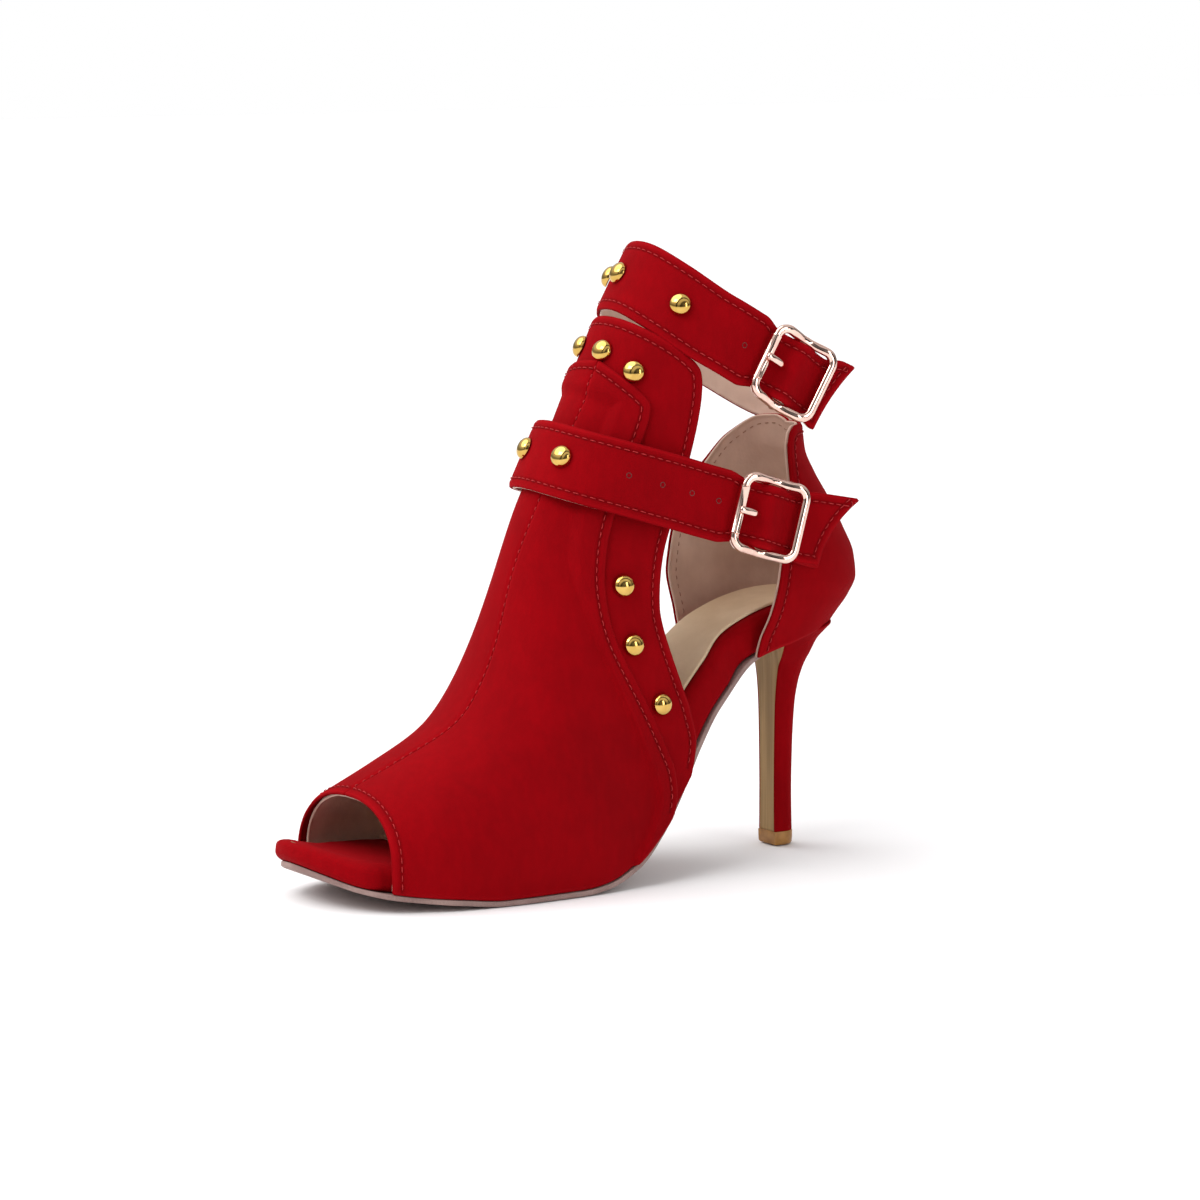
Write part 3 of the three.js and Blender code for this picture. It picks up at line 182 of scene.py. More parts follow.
def lofted(rings, closed_ends=True):
    """Points and faces through equal closed rings, with each end closed by its own ring as one face."""
    rings = np.asarray(rings)
    count, around = rings.shape[:2]
    k = np.arange(around)
    n = (k + 1) % around
    faces = []
    for i in range(count - 1):
        a, b = i * around, (i + 1) * around
        faces += np.stack([a + k, a + n, b + n, b + k], -1).tolist()
    if closed_ends:
        faces.append(k[::-1].tolist())
        faces.append(((count - 1) * around + k).tolist())
    return rings.reshape(-1, 3), faces


def sole_slab(inset, low, high, soften, start=None, end=None, low_soften=0.4, spread=None):
    """A layer of the sole. Its upper edge falls away by `soften` over a width of `spread`."""
    spread = spread or (lambda y: 0 * y + soften)
    rings = []
    turn = np.radians([0, 15, 30, 45, 60, 75, 90])

    def ring(extra, height, share=1.0):
        x, y = sole_outline(lambda at: inset(at) + extra(at), start, end)
        rings.append(above_tread(mix(sole_centre(y), x, share), y, height(y)))

    for share in (0.0, 0.35, 0.7):
        ring(lambda y: low_soften, low, share)
    for a in turn[::-1]:
        inwards, upwards = low_soften * (1 - math.cos(a)), low_soften * (1 - math.sin(a))
        ring(lambda y, by=inwards: by, lambda y, by=upwards: low(y) + by)
    for a in turn:
        inwards, downwards = 1 - math.cos(a), soften * (1 - math.sin(a))
        ring(lambda y, by=inwards: spread(y) * by, lambda y, by=downwards: high(y) - by)
    for share in (0.96, 0.85, 0.7, 0.5, 0.25, 0.0):
        ring(spread, high, share)
    return lofted(rings, closed_ends=False)


class Wire:
    """A node socket that can be used in ordinary arithmetic, each step adding a Math node."""

    def __init__(self, finish, socket):
        self.finish, self.socket = finish, socket

    def _maths(self, operation, *values):
        return self.finish.node("ShaderNodeMath", {"operation": operation}, dict(enumerate(values)))

    def __add__(self, other):
        return self._maths("ADD", self, other)

    def __sub__(self, other):
        return self._maths("SUBTRACT", self, other)

    def __rsub__(self, other):
        return self._maths("SUBTRACT", other, self)

    def __mul__(self, other):
        return self._maths("MULTIPLY", self, other)

    __radd__ = __add__
    __rmul__ = __mul__

    def between(self, low, high):
        """0 below low, 1 above high and smooth in between."""
        settings = {"interpolation_type": "SMOOTHSTEP"}
        sockets = {"Value": self, "From Min": low, "From Max": high}
        return self.finish.node("ShaderNodeMapRange", settings, sockets)


class Finish:
    """A material in the making. `node` adds one node and gives its output."""

    def __init__(self, name):
        self.material = bpy.data.materials.new(name)
        self.material.use_nodes = True
        self.tree = self.material.node_tree
        self.shader = self.tree.nodes["Principled BSDF"]

    def node(self, kind, settings=None, sockets=None, output=None):
        made = self.tree.nodes.new(kind)
        for key, value in (settings or {}).items():
            setattr(made, key, value)
        for key, value in (sockets or {}).items():
            self._set(made.inputs[key], value)
        outputs = [s for s in made.outputs if s.enabled]
        return Wire(self, made.outputs[output] if output else outputs[0])

    def _set(self, socket, value):
        if isinstance(value, Wire):
            self.tree.links.new(value.socket, socket)
        elif isinstance(value, tuple) and len(value) == 3 and socket.type == "RGBA":
            socket.default_value = (*value, 1)
        else:
            socket.default_value = value

    def shade(self, **values):
        for key, value in values.items():
            self._set(self.shader.inputs[key.replace("_", " ")], value)
        return self.material

    def place(self):
        """Where a point lies on the object, in metres."""
        return self.node("ShaderNodeTexCoord", output="Object")

    def noise(self, per_mm, detail=2.0, stretch=(1, 1, 1), roughness=0.5):
        """Soft noise with `per_mm` swells to the millimetre, about 0.5 on average."""
        scale = tuple(1000 * s for s in stretch)
        where = self.node("ShaderNodeVectorMath", {"operation": "MULTIPLY"}, {0: self.place(), 1: scale})
        sockets = {"Vector": where, "Scale": per_mm, "Detail": detail, "Roughness": roughness}
        return self.node("ShaderNodeTexNoise", None, sockets, "Fac")

    def blend(self, share, a, b):
        return self.node("ShaderNodeMix", {"data_type": "RGBA"}, {0: share, 6: a, 7: b}, 2)

    def bump(self, height, millimetres):
        sockets = {"Height": height, "Strength": 1.0, "Distance": millimetres * 0.001}
        return self.node("ShaderNodeBump", None, sockets)


def rubber_finish():
    finish = Finish("outsole_rubber")
    speck = finish.noise(1.6, 3)
    cloud = finish.noise(0.08, 2)
    colour = finish.blend(cloud.between(0.3, 0.7), (0.25, 0.155, 0.14), (0.35, 0.235, 0.21))
    colour = finish.blend(speck.between(0.55, 0.8) * 0.5, colour, (0.17, 0.10, 0.09))
    ribs = finish.node(
        "ShaderNodeTexWave", {"bands_direction": "Y"},
        {"Vector": finish.place(), "Scale": 260.0, "Distortion": 0.3, "Detail": 1.0}, "Fac")
    normal = finish.bump(ribs * 0.6 + speck * 0.5, 0.12)
    return finish.shade(
        Base_Color=colour, Roughness=0.62 + 0.2 * cloud, Normal=normal, Specular_IOR_Level=0.35)


def outsole_inset(y):
    return 0.2 + 2.2 * (1 - ease(y, -104, -88)) + 3.5 * ease(y, 46, 72)


points, faces = sole_slab(outsole_inset, lambda y: 0 * y, lambda y: 0 * y + OUTSOLE_THICK, 0.35, end=BREAST_Y)
piece("outsole_sheet", points, faces, rubber_finish(), "shoe", ["outsole"])

# Platform: a foam and board platform wrapped in suede that is pulled over its edge and turned under
# by a few millimetres. At the toe the wrap shows as a soft rounded roll in front of the opening.
UPPER_START = -92
UPPER_END = 31
platform_top = through([
    (-115, 9.8), (-90, 11.2), (-40, 12), (0, 14), (28, 14.6), (45, 14.3), (60, 14.4), (72, 14.8), (84, 14.2),
    (105, 13.6),
])


def under_upper(y):
    return 3.9 * ease(y, UPPER_START - 8, UPPER_START) * (1 - ease(y, UPPER_END - 6, UPPER_END + 2))


def suede_finish():
    finish = Finish("red_suede")
    bright, deep = (0.29, 0.0003, 0.003), (0.20, 0.0002, 0.0022)
    cloud = finish.noise(0.035, 3, roughness=0.6)
    brushed = finish.noise(0.3, 3, (1, 1, 0.35), 0.7)
    nap = finish.noise(5.0, 3, (1, 1, 0.5), 0.7)
    shade = cloud.between(0.3, 0.7) * 0.4 + brushed.between(0.35, 0.7) * 0.25 + nap.between(0.3, 0.75) * 0.35
    colour = finish.blend(shade, deep, bright)
    fold = finish.node("ShaderNodeAttribute", {"attribute_name": "worn"}, None, "Fac")
    colour = finish.blend(fold.between(0.0, 1.0) * 0.35, colour, (0.38, 0.002, 0.006))
    # Painted shade: the suede is painted much darker where the stitch lines sink it into a groove.
    pressed = finish.node("ShaderNodeAttribute", {"attribute_name": "pressed"}, None, "Fac")
    colour = finish.blend(pressed.between(0.0, 1.0) * 0.45, colour, (0.06, 0.0002, 0.001))
    return finish.shade(
        Base_Color=colour, Roughness=0.84 + 0.12 * nap, Normal=finish.bump(nap * 0.7 + brushed * 0.6, 0.10),
        Specular_IOR_Level=0.05, Sheen_Weight=0.07, Sheen_Roughness=0.5, Sheen_Tint=(1.0, 0.04, 0.06))


red_suede = suede_finish()
points, faces = sole_slab(
    lambda y: 0.4 + under_upper(y), lambda y: 0 * y + PLATFORM_BASE, platform_top, 3.8, low_soften=2.2,
    spread=lambda y: mix(7.0, 2.6, ease(y, -96, -84)))
piece("platform_cover", points, faces, red_suede, "shoe", ["platform_wrap"])

# Sock: a thin padded leather lining sheet laid on the platform under the foot, glued down, with a
# cut front edge behind the toes. It is beige, with a fine pebbled grain.


def lining_finish(name, light, dark):
    finish = Finish(name)
    cloud = finish.noise(0.05, 3, roughness=0.6)
    pebble = finish.node(
        "ShaderNodeTexVoronoi", {"feature": "SMOOTH_F1"},
        {"Vector": finish.place(), "Scale": 900.0, "Smoothness": 0.6}, "Distance")
    crease_and_shade = finish.noise(0.16, 4, (1, 1, 0.6), 0.65)
    # The cloud is the leather's own uneven tone; the crease term paints shade into the hollows of the
    # creases.
    colour = finish.blend(cloud.between(0.3, 0.7) * 0.7 + crease_and_shade.between(0.35, 0.7) * 0.3, dark, light)
    return finish.shade(
        Base_Color=colour, Roughness=0.5 + 0.22 * crease_and_shade,
        Normal=finish.bump(pebble * 0.5 + crease_and_shade * 1.6, 0.12),
        Specular_IOR_Level=0.4, Sheen_Weight=0.1, Sheen_Roughness=0.5)


sock_leather = lining_finish("sock_leather", (0.74, 0.57, 0.38), (0.64, 0.47, 0.29))
SOCK_THICK = 1.1
SOCK_FRONT_Y = -64
points, faces = sole_slab(
    lambda y: 3.8 + under_upper(y) * 0.5,
    lambda y: platform_top(y) + GAP,
    lambda y: platform_top(y) + GAP + SOCK_THICK,
    0.45, start=SOCK_FRONT_Y, low_soften=0.3)
piece("sock", points, faces, sock_leather, "shoe", ["sock_lining"])

# Heel: a slim moulded plastic stiletto, covered with a sheet of suede that is glued round its back
# and sides. Its flat front, the breast, has its own tan facing strip.
WRAP_THICK = 1.0
TOP_PIECE_HEIGHT = 5
heel_front = through([(0, 78.8), (50, 78.4), (64, 78.2), (70, 77.6), (76, 76.8), (84, 76.4)])
heel_back = through([
    (0, 88.4), (20, 88), (35, 88.2), (50, 89), (58, 90.3), (64, 92.2), (69, 94.2), (74, 95.9), (79, 98),
    (84, 101),
])
heel_half_width = through([
    (0, 5.4), (20, 5.2), (35, 5.4), (50, 5.9), (58, 6.7), (64, 8), (69, 10.8), (74, 14), (78, 18.6),
    (81, 22), (86, 25),
])


def heel_point(z, degrees, offset):
    """A point of the heel's D-shaped section: 0 degrees is the back, 180 the middle of the flat front."""
    half = heel_half_width(z) + offset
    front = heel_front(z) - offset
    back = heel_back(z) + offset
    middle = mix(front, back, 0.45)
    side = np.where(degrees < 0, -1.0, 1.0)
    size = np.abs(degrees)
    s = np.clip((size - 90) / 45, 0, 1)
    round_x = half * np.sin(np.radians(size))
    round_y = middle + (back - middle) * np.cos(np.radians(size))
    flank_x = half * (1 - 0.08 * s * s)
    flat_x = half * 0.92 * (1 - (size - 135) / 45)
    x = np.where(size <= 90, round_x, np.where(size <= 135, flank_x, flat_x))
    y = np.where(size <= 90, round_y, np.where(size <= 135, mix(middle, front, s), front))
    return stacked(side * x, y, z)


def heel_grid(v, degrees):
    top = np.full(np.broadcast(v, degrees).shape, 76.0)
    for _ in range(12):
        top = surface_z(heel_point(top, degrees, 0)[..., 1], OUTSOLE_THICK + 0.5)
    return heel_point(mix(TOP_PIECE_HEIGHT + GAP, top, v), degrees, 0)


def grid_normals(grid):
    return unit(np.cross(np.gradient(grid, axis=0), np.gradient(grid, axis=1)))


def hide(grid, normals, thick, rim=6):
    """A sheet of leather of one thickness below a grid of points, its edges turned in a half round."""
    rows, cols = grid.shape[:2]
    under = grid - normals * thick
    edge = [(0, j) for j in range(cols)] + [(i, cols - 1) for i in range(1, rows)]
    edge += [(rows - 1, j) for j in range(cols - 2, -1, -1)] + [(i, 0) for i in range(rows - 2, 0, -1)]
    i, j = np.array(edge).T
    middle = (grid[i, j] + under[i, j]) / 2
    ahead = unit(np.roll(middle, -1, 0) - np.roll(middle, 1, 0))
    outward = np.cross(ahead, normals[i, j])
    inner_i, inner_j = np.clip(i, 1, rows - 2), np.clip(j, 1, cols - 2)
    towards = middle - (grid[inner_i, inner_j] + under[inner_i, inner_j]) / 2
    outward = unit(outward * np.sign((outward * towards).sum(-1, keepdims=True)))
    count = rows * cols
    a = (np.arange(rows - 1)[:, None] * cols + np.arange(cols - 1)).ravel()
    faces = np.stack([a, a + 1, a + 1 + cols, a + cols], -1).tolist()
    faces += (np.stack([a + cols, a + 1 + cols, a + 1, a], -1) + count).tolist()
    bands = [i * cols + j]
    points = [grid.reshape(-1, 3), under.reshape(-1, 3)]
    around = len(edge)
    for step in range(1, rim):
        angle = math.pi * step / rim
        points.append(middle + thick / 2 * (normals[i, j] * math.cos(angle) + outward * math.sin(angle)))
        bands.append(2 * count + (step - 1) * around + np.arange(around))
    bands.append(count + i * cols + j)
    for one, two in zip(bands, bands[1:]):
        faces += np.stack([one, two, np.roll(two, -1), np.roll(one, -1)], -1).tolist()
    return np.concatenate(points), faces


COVER_EDGE_DEGREES = 132
heel_rows = np.sin(np.linspace(0, 1, 140)[:, None] * math.pi / 2) ** 1.15
grid = heel_grid(heel_rows, np.linspace(-COVER_EDGE_DEGREES, COVER_EDGE_DEGREES, 90)[None])
normals = grid_normals(grid)
points, faces = hide(grid, normals * np.sign(normals[70, 45, 1]), WRAP_THICK, 4)
piece("heel_cover_suede", points, faces, red_suede, "shoe", ["heel_cover"])


def breast_finish():
    finish = Finish("breast_facing")
    streak = finish.noise(0.5, 3, (1, 1, 0.04), 0.6)
    grain = finish.noise(3.0, 3)
    colour = finish.blend(streak.between(0.3, 0.7), (0.28, 0.165, 0.06), (0.42, 0.26, 0.10))
    return finish.shade(
        Base_Color=colour, Roughness=0.5 + 0.2 * grain, Normal=finish.bump(grain + streak, 0.06),
        Specular_IOR_Level=0.4)


breast = heel_grid(heel_rows, np.full((1, 13), 180.0))
half = heel_half_width(breast[..., 2]) * 0.92 - 0.7
breast[..., 0] = half * np.linspace(-1, 1, 13)
normals = grid_normals(breast)
points, faces = hide(breast, normals * -np.sign(normals[70, 6, 1]), WRAP_THICK, 4)
piece("heel_breast_facing", points, faces, breast_finish(), "shoe", ["heel_breast_cover"])

# Top piece: the honey-brown wearing pad of hard rubber under the heel, pinned into the heel's dowel
# and trimmed flush with the cover. Its lower edge is a little rubbed.


def top_piece_finish():
    finish = Finish("top_piece_rubber")
    cloud = finish.noise(0.25, 3)
    speck = finish.noise(4.0, 2)
    colour = finish.blend(cloud.between(0.3, 0.7), (0.30, 0.125, 0.022), (0.43, 0.205, 0.045))
    return finish.shade(
        Base_Color=colour, Roughness=0.35 + 0.2 * speck, Normal=finish.bump(speck, 0.05),
        Specular_IOR_Level=0.5)


TOP_PIECE_SIDE = [
    (0, -3.5), (0, -1.0), (0.05, -0.6), (0.25, -0.25), (0.7, 0.05), (2.5, 0.15), (4.6, 0.2), (4.9, 0.05),
    (5, -0.4),
]
around = np.linspace(-180, 180, 97)[:-1]
rings = []
for z, offset in TOP_PIECE_SIDE:
    ring = heel_point(np.full(96, TOP_PIECE_HEIGHT, float), around, offset)
    ring[:, 2] = z
    rings.append(ring)
points, faces = lofted(rings)
piece("top_piece_pad", points, faces, top_piece_finish(), "shoe", ["top_piece"])

# Vamp: two red suede quarters joined by a seam down the middle of the instep. Each runs from the
# sewn edge of the toe opening up to a rounded top corner, over the edge of the studded panel, and
# its foot is lasted down over the platform's side. Topstitching follows its free edges.
SUEDE_THICK = 1.2


def numbered(values):
    return through(list(enumerate(values)))


ridge_y = numbered([-92.3, -72.4, -52.4, -39.4, -32.5, -23.5, -11, 1, 11.5, 22])
ridge_z = numbered([36.2, 45.6, 58.4, 80.5, 105, 128, 150, 172, 193, 214])
widest_y = numbered([-94.5, -71, -46, -20, 6, 24, 40, 50, 54, 58])
widest_z = numbered([14.5, 13.5, 12.5, 15, 30, 62, 103, 138, 165, 186])
foot_y = numbered([-95, -71.5, -46, -19.5, 11.5, 39, 50, 60, 70, 80])
upper_half_width = numbered([29.6, 36.6, 39.1, 38.6, 33.2, 31, 30.5, 30.5, 30.5, 30.5])
upper_centre = numbered([-1.5, 0, 1, 1.5, 2.6, 1.5, 0.5, 0, 0, 0])


def arch(section, degrees):
    side = np.sign(degrees)
    size = np.minimum(np.abs(degrees), 90)
    centre, half = upper_centre(section), upper_half_width(section)
    forward = np.maximum(np.cos(np.radians(size)), 0) ** (2 / 2.2)
    outward = np.sin(np.radians(size)) ** (2 / 2.2)
    over = stacked(
        centre + side * half * outward,
        mix(widest_y(section), ridge_y(section), forward),
        mix(widest_z(section), ridge_z(section), forward))
    down = np.clip((np.abs(degrees) - 90) / 30, 0, None)
    foot = above_tread(0, foot_y(section), PLATFORM_BASE)
    wall = stacked(
        centre + side * (half - 0.8 * down * down),
        mix(widest_y(section), foot[..., 1], down),
        mix(widest_z(section), foot[..., 2], down))
    return np.where((np.abs(degrees) <= 90)[..., None], over, wall)


def arch_normal(section, degrees):
    along = arch(section + 0.02, degrees) - arch(section - 0.02, degrees)
    around = arch(section, degrees + 1.0) - arch(section, degrees - 1.0)
    return unit(np.cross(around, along))


def read_rows(table, share):
    """Reads a table of rows at shares of the way from its first row to its last."""
    table = np.array(table, float)
    at = share * (len(table) - 1)
    return [numbered(column)(at) for column in table.T]


VAMP_ROWS = [
    (0, 0, 119), (1, 1, 119), (2, 2, 119), (3, 3, 119), (3.7, 3.7, 119), (4.12, 4.12, 118),
    (4.33, 4.34, 98), (4.5, 4.45, 80), (4.7, 4.55, 62), (5, 4.93, 50.5), (5.6, 5.6, 45.5),
    (6.2, 6.2, 45.5), (6.7, 6.68, 45.5), (7, 6.93, 44), (7.17, 7.01, 38),
]
panel_inner_angle = through([(3.7, 119), (4.02, 103), (4.35, 62), (4.75, 43), (5.5, 36), (7, 34)])
seam_angle = through([(0, -2), (0.8, -1), (2.3, 5), (4, 4.5), (5, 8), (7.2, 10)])


def over_panel(section, degrees):
    inner = panel_inner_angle(section)
    side = np.where(section > 3.6, ease(np.abs(degrees), inner - 9, inner - 1.5), 0)
    return 1.75 * np.maximum(side, ease(section, 6.62, 6.84))


def even_grid(across, rows, cols):
    """Samples of a (u, v) surface, with extra rows and columns close to every edge."""

    def shares(count):
        s = np.linspace(0, 1, count)
        return mix(s, 0.5 - 0.5 * np.cos(math.pi * s), 0.45)

    return across(shares(rows)[:, None], shares(cols)[None])


def lengths_along(line):
    return np.concatenate([[0], np.cumsum(np.linalg.norm(np.diff(line, axis=0), axis=1))])


def at_length(where, at, line):
    """Points that lie `where` along a line whose own points lie `at` those lengths."""
    return np.stack([np.interp(where, at, column) for column in line.T], -1)


def along_edge(edge, normals, inwards, grid, grid_norm):
    """A line that follows an edge at a set distance inside it, laid back on the grid's surface."""
    step = np.linalg.norm(np.diff(edge, axis=0), axis=1)
    keep = np.concatenate([[True], step > 1e-4])
    edge, normals = edge[keep], normals[keep]
    at = lengths_along(edge)
    every = np.linspace(0, at[-1], max(8, int(at[-1] / 0.8)))
    line = at_length(every, at, edge)
    up = unit(at_length(every, at, normals))
    ahead = np.gradient(line, axis=0)
    window = np.ones(7) / 7
    padded = np.pad(ahead, ((3, 3), (0, 0)), "edge")
    ahead = unit(np.stack([np.convolve(padded[:, k], window, "valid") for k in range(3)], -1))
    line = line + unit(np.cross(up, ahead)) * inwards
    flat, flat_n = grid.reshape(-1, 3), grid_norm.reshape(-1, 3)
    laid, laid_n = [], []
    for point in line:
        near = np.argmin(((flat - point) ** 2).sum(-1))
        laid.append(point - flat_n[near] * ((point - flat[near]) @ flat_n[near]))
        laid_n.append(flat_n[near])
    return np.array(laid), np.array(laid_n)


def pressed_along(grid, normals, lines, depth=0.28, width=0.7):
    """Sinks a grid along stitched lines, and gives how deeply each point sinks, which the suede's finish also
    uses for painted shade in the groove.
    """
    away = np.full(grid.shape[:2], 1e9)
    for line in lines:
        for start in range(0, len(line), 40):
            part = line[start:start + 40]
            away = np.minimum(away, np.linalg.norm(grid[:, :, None] - part, axis=-1).min(-1))
    press_and_shade = np.exp(-((away / width) ** 2))
    return grid - normals * (press_and_shade * depth)[..., None], press_and_shade


def joined(parts):
    """Several parts, each given as its points and faces, as the points and faces of one mesh."""
    points, faces, total = [], [], 0
    for more, more_faces in parts:
        faces += [[k + total for k in face] for face in more_faces]
        points.append(more)
        total += len(more)
    return np.concatenate(points), faces


THREAD_RADIUS = 0.18
THREAD_SIDES = 6
STITCH_SHAPE = [
    (0, 0.45, -0.34), (0.1, 0.85, -0.12), (0.3, 1, 0.06), (0.5, 1, 0.1), (0.7, 1, 0.06), (0.9, 0.85, -0.12),
    (1, 0.45, -0.34),
]


def thread_run(line, normals, pitch=3.0, length=2.0, lift=0.08):
    """Points and faces of a row of separate stitches, each a short thread that dips at its ends."""
    at = lengths_along(line)
    count = int((at[-1] - length) / pitch)
    starts = (at[-1] - (count * pitch + length)) / 2 + pitch * np.arange(count + 1)
    turn = np.arange(THREAD_SIDES) * 2 * math.pi / THREAD_SIDES
    stitches = []
    for start in starts:
        rings = []
        for share, size, rise in STITCH_SHAPE:
            where = start + share * length
            up = unit(at_length(where, at, normals))
            ahead = unit(at_length(where + 0.4, at, line) - at_length(where - 0.4, at, line))
            across = np.cross(up, ahead)
            rings.append(
                at_length(where, at, line) + up * (lift + rise)
                + THREAD_RADIUS * size * (np.cos(turn)[:, None] * across + np.sin(turn)[:, None] * up))
        stitches.append(lofted(rings))
    return joined(stitches)


def thread_finish(name, colour, dark):
    finish = Finish(name)
    twist = finish.noise(2.5, 2)
    return finish.shade(
        Base_Color=finish.blend(twist.between(0.35, 0.65), dark, colour), Roughness=0.55 + 0.1 * twist,
        Normal=finish.bump(twist, 0.05), Specular_IOR_Level=0.2)


red_thread = thread_finish("red_thread", (0.47, 0.028, 0.03), (0.30, 0.008, 0.01))


def sewn(name, lines, material, body, slot, **size):
    points, faces = joined([thread_run(line, normals, **size) for line, normals in lines])
    return piece(name, points, faces, material, body, [])


def mark(made, name, values):
    """Stores a value from 0 to 1 on the first points of a piece, for its finish to read."""
    layer = made.data.attributes.new(name, "FLOAT", "POINT")
    data = np.zeros(len(made.data.vertices), np.float32)
    count = min(values.size, len(data))
    data[:count] = values.ravel()[:count]
    layer.data.foreach_set("value", data)


def edge_share(grid, width=1.3):
    """1 on the edges of a grid and 0 from `width` millimetres inside them."""
    down = np.cumsum(np.linalg.norm(np.diff(grid, axis=0, prepend=grid[:1]), axis=-1), 0)
    over = np.cumsum(np.linalg.norm(np.diff(grid, axis=1, prepend=grid[:, :1]), axis=-1), 1)
    away = np.minimum(np.minimum(down, down[-1:] - down), np.minimum(over, over[:, -1:] - over))
    return np.clip(1 - away / width, 0, 1)


def panel(name, grid, normals, thick, material, body, nodes, lines=()):
    """A flat-cut panel with turned edges, sunk in along its stitch lines, with that depth marked for painted
    shade in the groove.
    """
    worn = edge_share(grid)
    round_off = 0.35 * thick * worn**2
    sunk, press_and_shade = pressed_along(grid - normals * round_off[..., None], normals, [line for line, _ in lines])
    points, faces = hide(sunk, normals, thick)
    made = piece(name, points, faces, material, body, nodes)
    mark(made, "worn", worn)
    mark(made, "pressed", press_and_shade)


SEAM_HALF_DEGREES = 0.77
vamp_lines = []
for side, which in ((1, "outer"), (-1, "inner")):

    def vamp_surface(u, v, side=side):
        middle, edge_section, edge_angle = read_rows(VAMP_ROWS, u)
        seam = seam_angle(middle) + side * SEAM_HALF_DEGREES
        lean = side * 0.13 * (1 - ease(middle, 0, 1))
        section = mix(middle, edge_section + np.maximum(0, lean), v)
        degrees = mix(seam, side * edge_angle, v)
        normal = arch_normal(section, degrees)
        return arch(section, degrees) + normal * over_panel(section, degrees)[..., None], normal

    grid, normals = even_grid(vamp_surface, 230, 120)
    rear = [k for k in range(len(grid)) if grid[k, -1, 1] > 14 or grid[k, -1, 2] > 30]
    free = np.concatenate([grid[rear, -1], grid[-1, ::-1][1:]])
    free_n = np.concatenate([normals[rear, -1], normals[-1, ::-1][1:]])
    rear_line = along_edge(free, free_n, 2.7 * side, grid, normals)
    toe_line = along_edge(grid[0], normals[0], 2.7 * side, grid, normals)
    lines = [rear_line, toe_line]
    vamp_lines += lines
    panel("vamp_quarter_" + which, grid, normals, SUEDE_THICK, red_suede, "shoe",
          ["vamp_" + which + "_side"], lines)
    if side > 0:
        seam_line = (grid[4:-4, 0] - np.array([0.2, 0, 0]) - normals[4:-4, 0] * 0.15, normals[4:-4, 0])
sewn("vamp_topstitch", vamp_lines, red_thread, "shoe", "suede")
sewn("vamp_seam_stitch", [seam_line], red_thread, "shoe", "suede", pitch=3.1, length=1.3, lift=0.05)

# Studded panel: a band of the same suede that runs under the rear edge of the vamp, up one side of
# the foot, round the front of the ankle and down the other side. Its free edge is topstitched.
STUD_PANEL_ROWS = [
    (3.86, 119, 4.46, 118), (4.02, 103, 4.7, 106), (4.15, 84, 4.93, 89.5), (4.35, 62, 5.27, 72),
    (4.75, 43, 5.78, 67), (5.5, 36, 6.3, 66.5), (6.2, 35, 6.85, 66), (6.55, 33, 7.35, 65),
    (6.73, 28, 7.72, 61.5), (6.82, 20, 7.83, 48), (6.86, 10, 7.86, 24), (6.87, 0, 7.87, 0),
]


def stud_panel_surface(u, v):
    side = np.where(u <= 0.5, -1.0, 1.0)
    inner_section, inner_angle, outer_section, outer_angle = read_rows(STUD_PANEL_ROWS, 1 - np.abs(2 * u - 1))
    section = mix(inner_section, outer_section, v)
    degrees = side * mix(inner_angle, outer_angle, v)
    normal = arch_normal(section, np.where(np.abs(degrees) < 1e-6, 1e-6, degrees))
    return arch(section, degrees), normal


grid, normals = even_grid(stud_panel_surface, 420, 56)
outer_line = along_edge(grid[6:-6, -1], normals[6:-6, -1], -2.7, grid, normals)
panel("studded_panel", grid, normals, SUEDE_THICK, red_suede, "shoe", ["stud_panel"], [outer_line])
sewn("studded_panel_topstitch", [outer_line], red_thread, "shoe", "suede")

# Lining of the fore part: one piece of pinkish beige lining leather behind the vamp and the studded
# panel, trimmed just inside their edges so that only its cut edge shows round the openings.
LINING_ROWS = [
    (0.04, 0.13, 119), (1, 1, 119), (2, 2, 119), (3, 3, 119), (4, 4, 119), (4.4, 4.45, 118),
    (4.62, 4.7, 107), (4.9, 4.92, 90), (5.25, 5.25, 72.5), (5.8, 5.8, 67), (6.7, 6.7, 66),
    (7.3, 7.3, 65), (7.7, 7.66, 62.5), (7.86, 7.82, 52),
]
LINING_THICK = 1.0
lining_leather = lining_finish("lining_leather", (0.74, 0.54, 0.43), (0.60, 0.41, 0.32))


def vamp_lining_surface(u, v):
    middle, edge_section, edge_angle = read_rows(LINING_ROWS, u)
    share = 2 * v - 1
    section = mix(middle, edge_section, np.abs(share))
    degrees = share * edge_angle
    normal = arch_normal(section, np.where(np.abs(degrees) < 1e-6, 1e-6, degrees))
    return arch(section, degrees) - normal * (SUEDE_THICK + 0.35), normal


grid, normals = even_grid(vamp_lining_surface, 200, 180)
panel("vamp_lining_leather", grid, normals, LINING_THICK, lining_leather, "shoe", ["vamp_lining"])

# Counter: the red suede cup round the heel of the foot, joined by a seam down the back, with a
# moulded stiffener between it and its beige lining. Its top and front edges are topstitched.
counter_back = through([
    (68, 93), (74, 96), (79, 99.4), (84, 103.2), (90, 108), (96, 110.8), (104, 109.8), (113, 105.6),
    (124, 99.4), (134, 93), (142, 89.2), (154, 87.8),
])
counter_half_width = through([
    (68, 20), (76, 21.6), (82, 23.6), (90, 26), (98, 27.2), (106, 27), (116, 26), (126, 24.6), (136, 23.6),
    (154, 23),
])
outer_front_y = through([
    (64, 60), (77, 61.5), (85, 63.5), (95, 65), (104, 66.5), (118, 70), (133, 72.4), (152, 73),
])
inner_front_y = through([(64, 54), (84, 54.5), (96, 53.5), (106, 54.5), (128, 57.5), (152, 58)])
outer_top = through([(0, 150), (0.5, 150.5), (0.82, 150.3), (0.94, 148.5), (1, 144.5)])
inner_top = through([
    (0, 150.5), (0.15, 152), (0.31, 151.5), (0.6, 145), (0.8, 136), (0.93, 129.5), (1, 123.5),
])


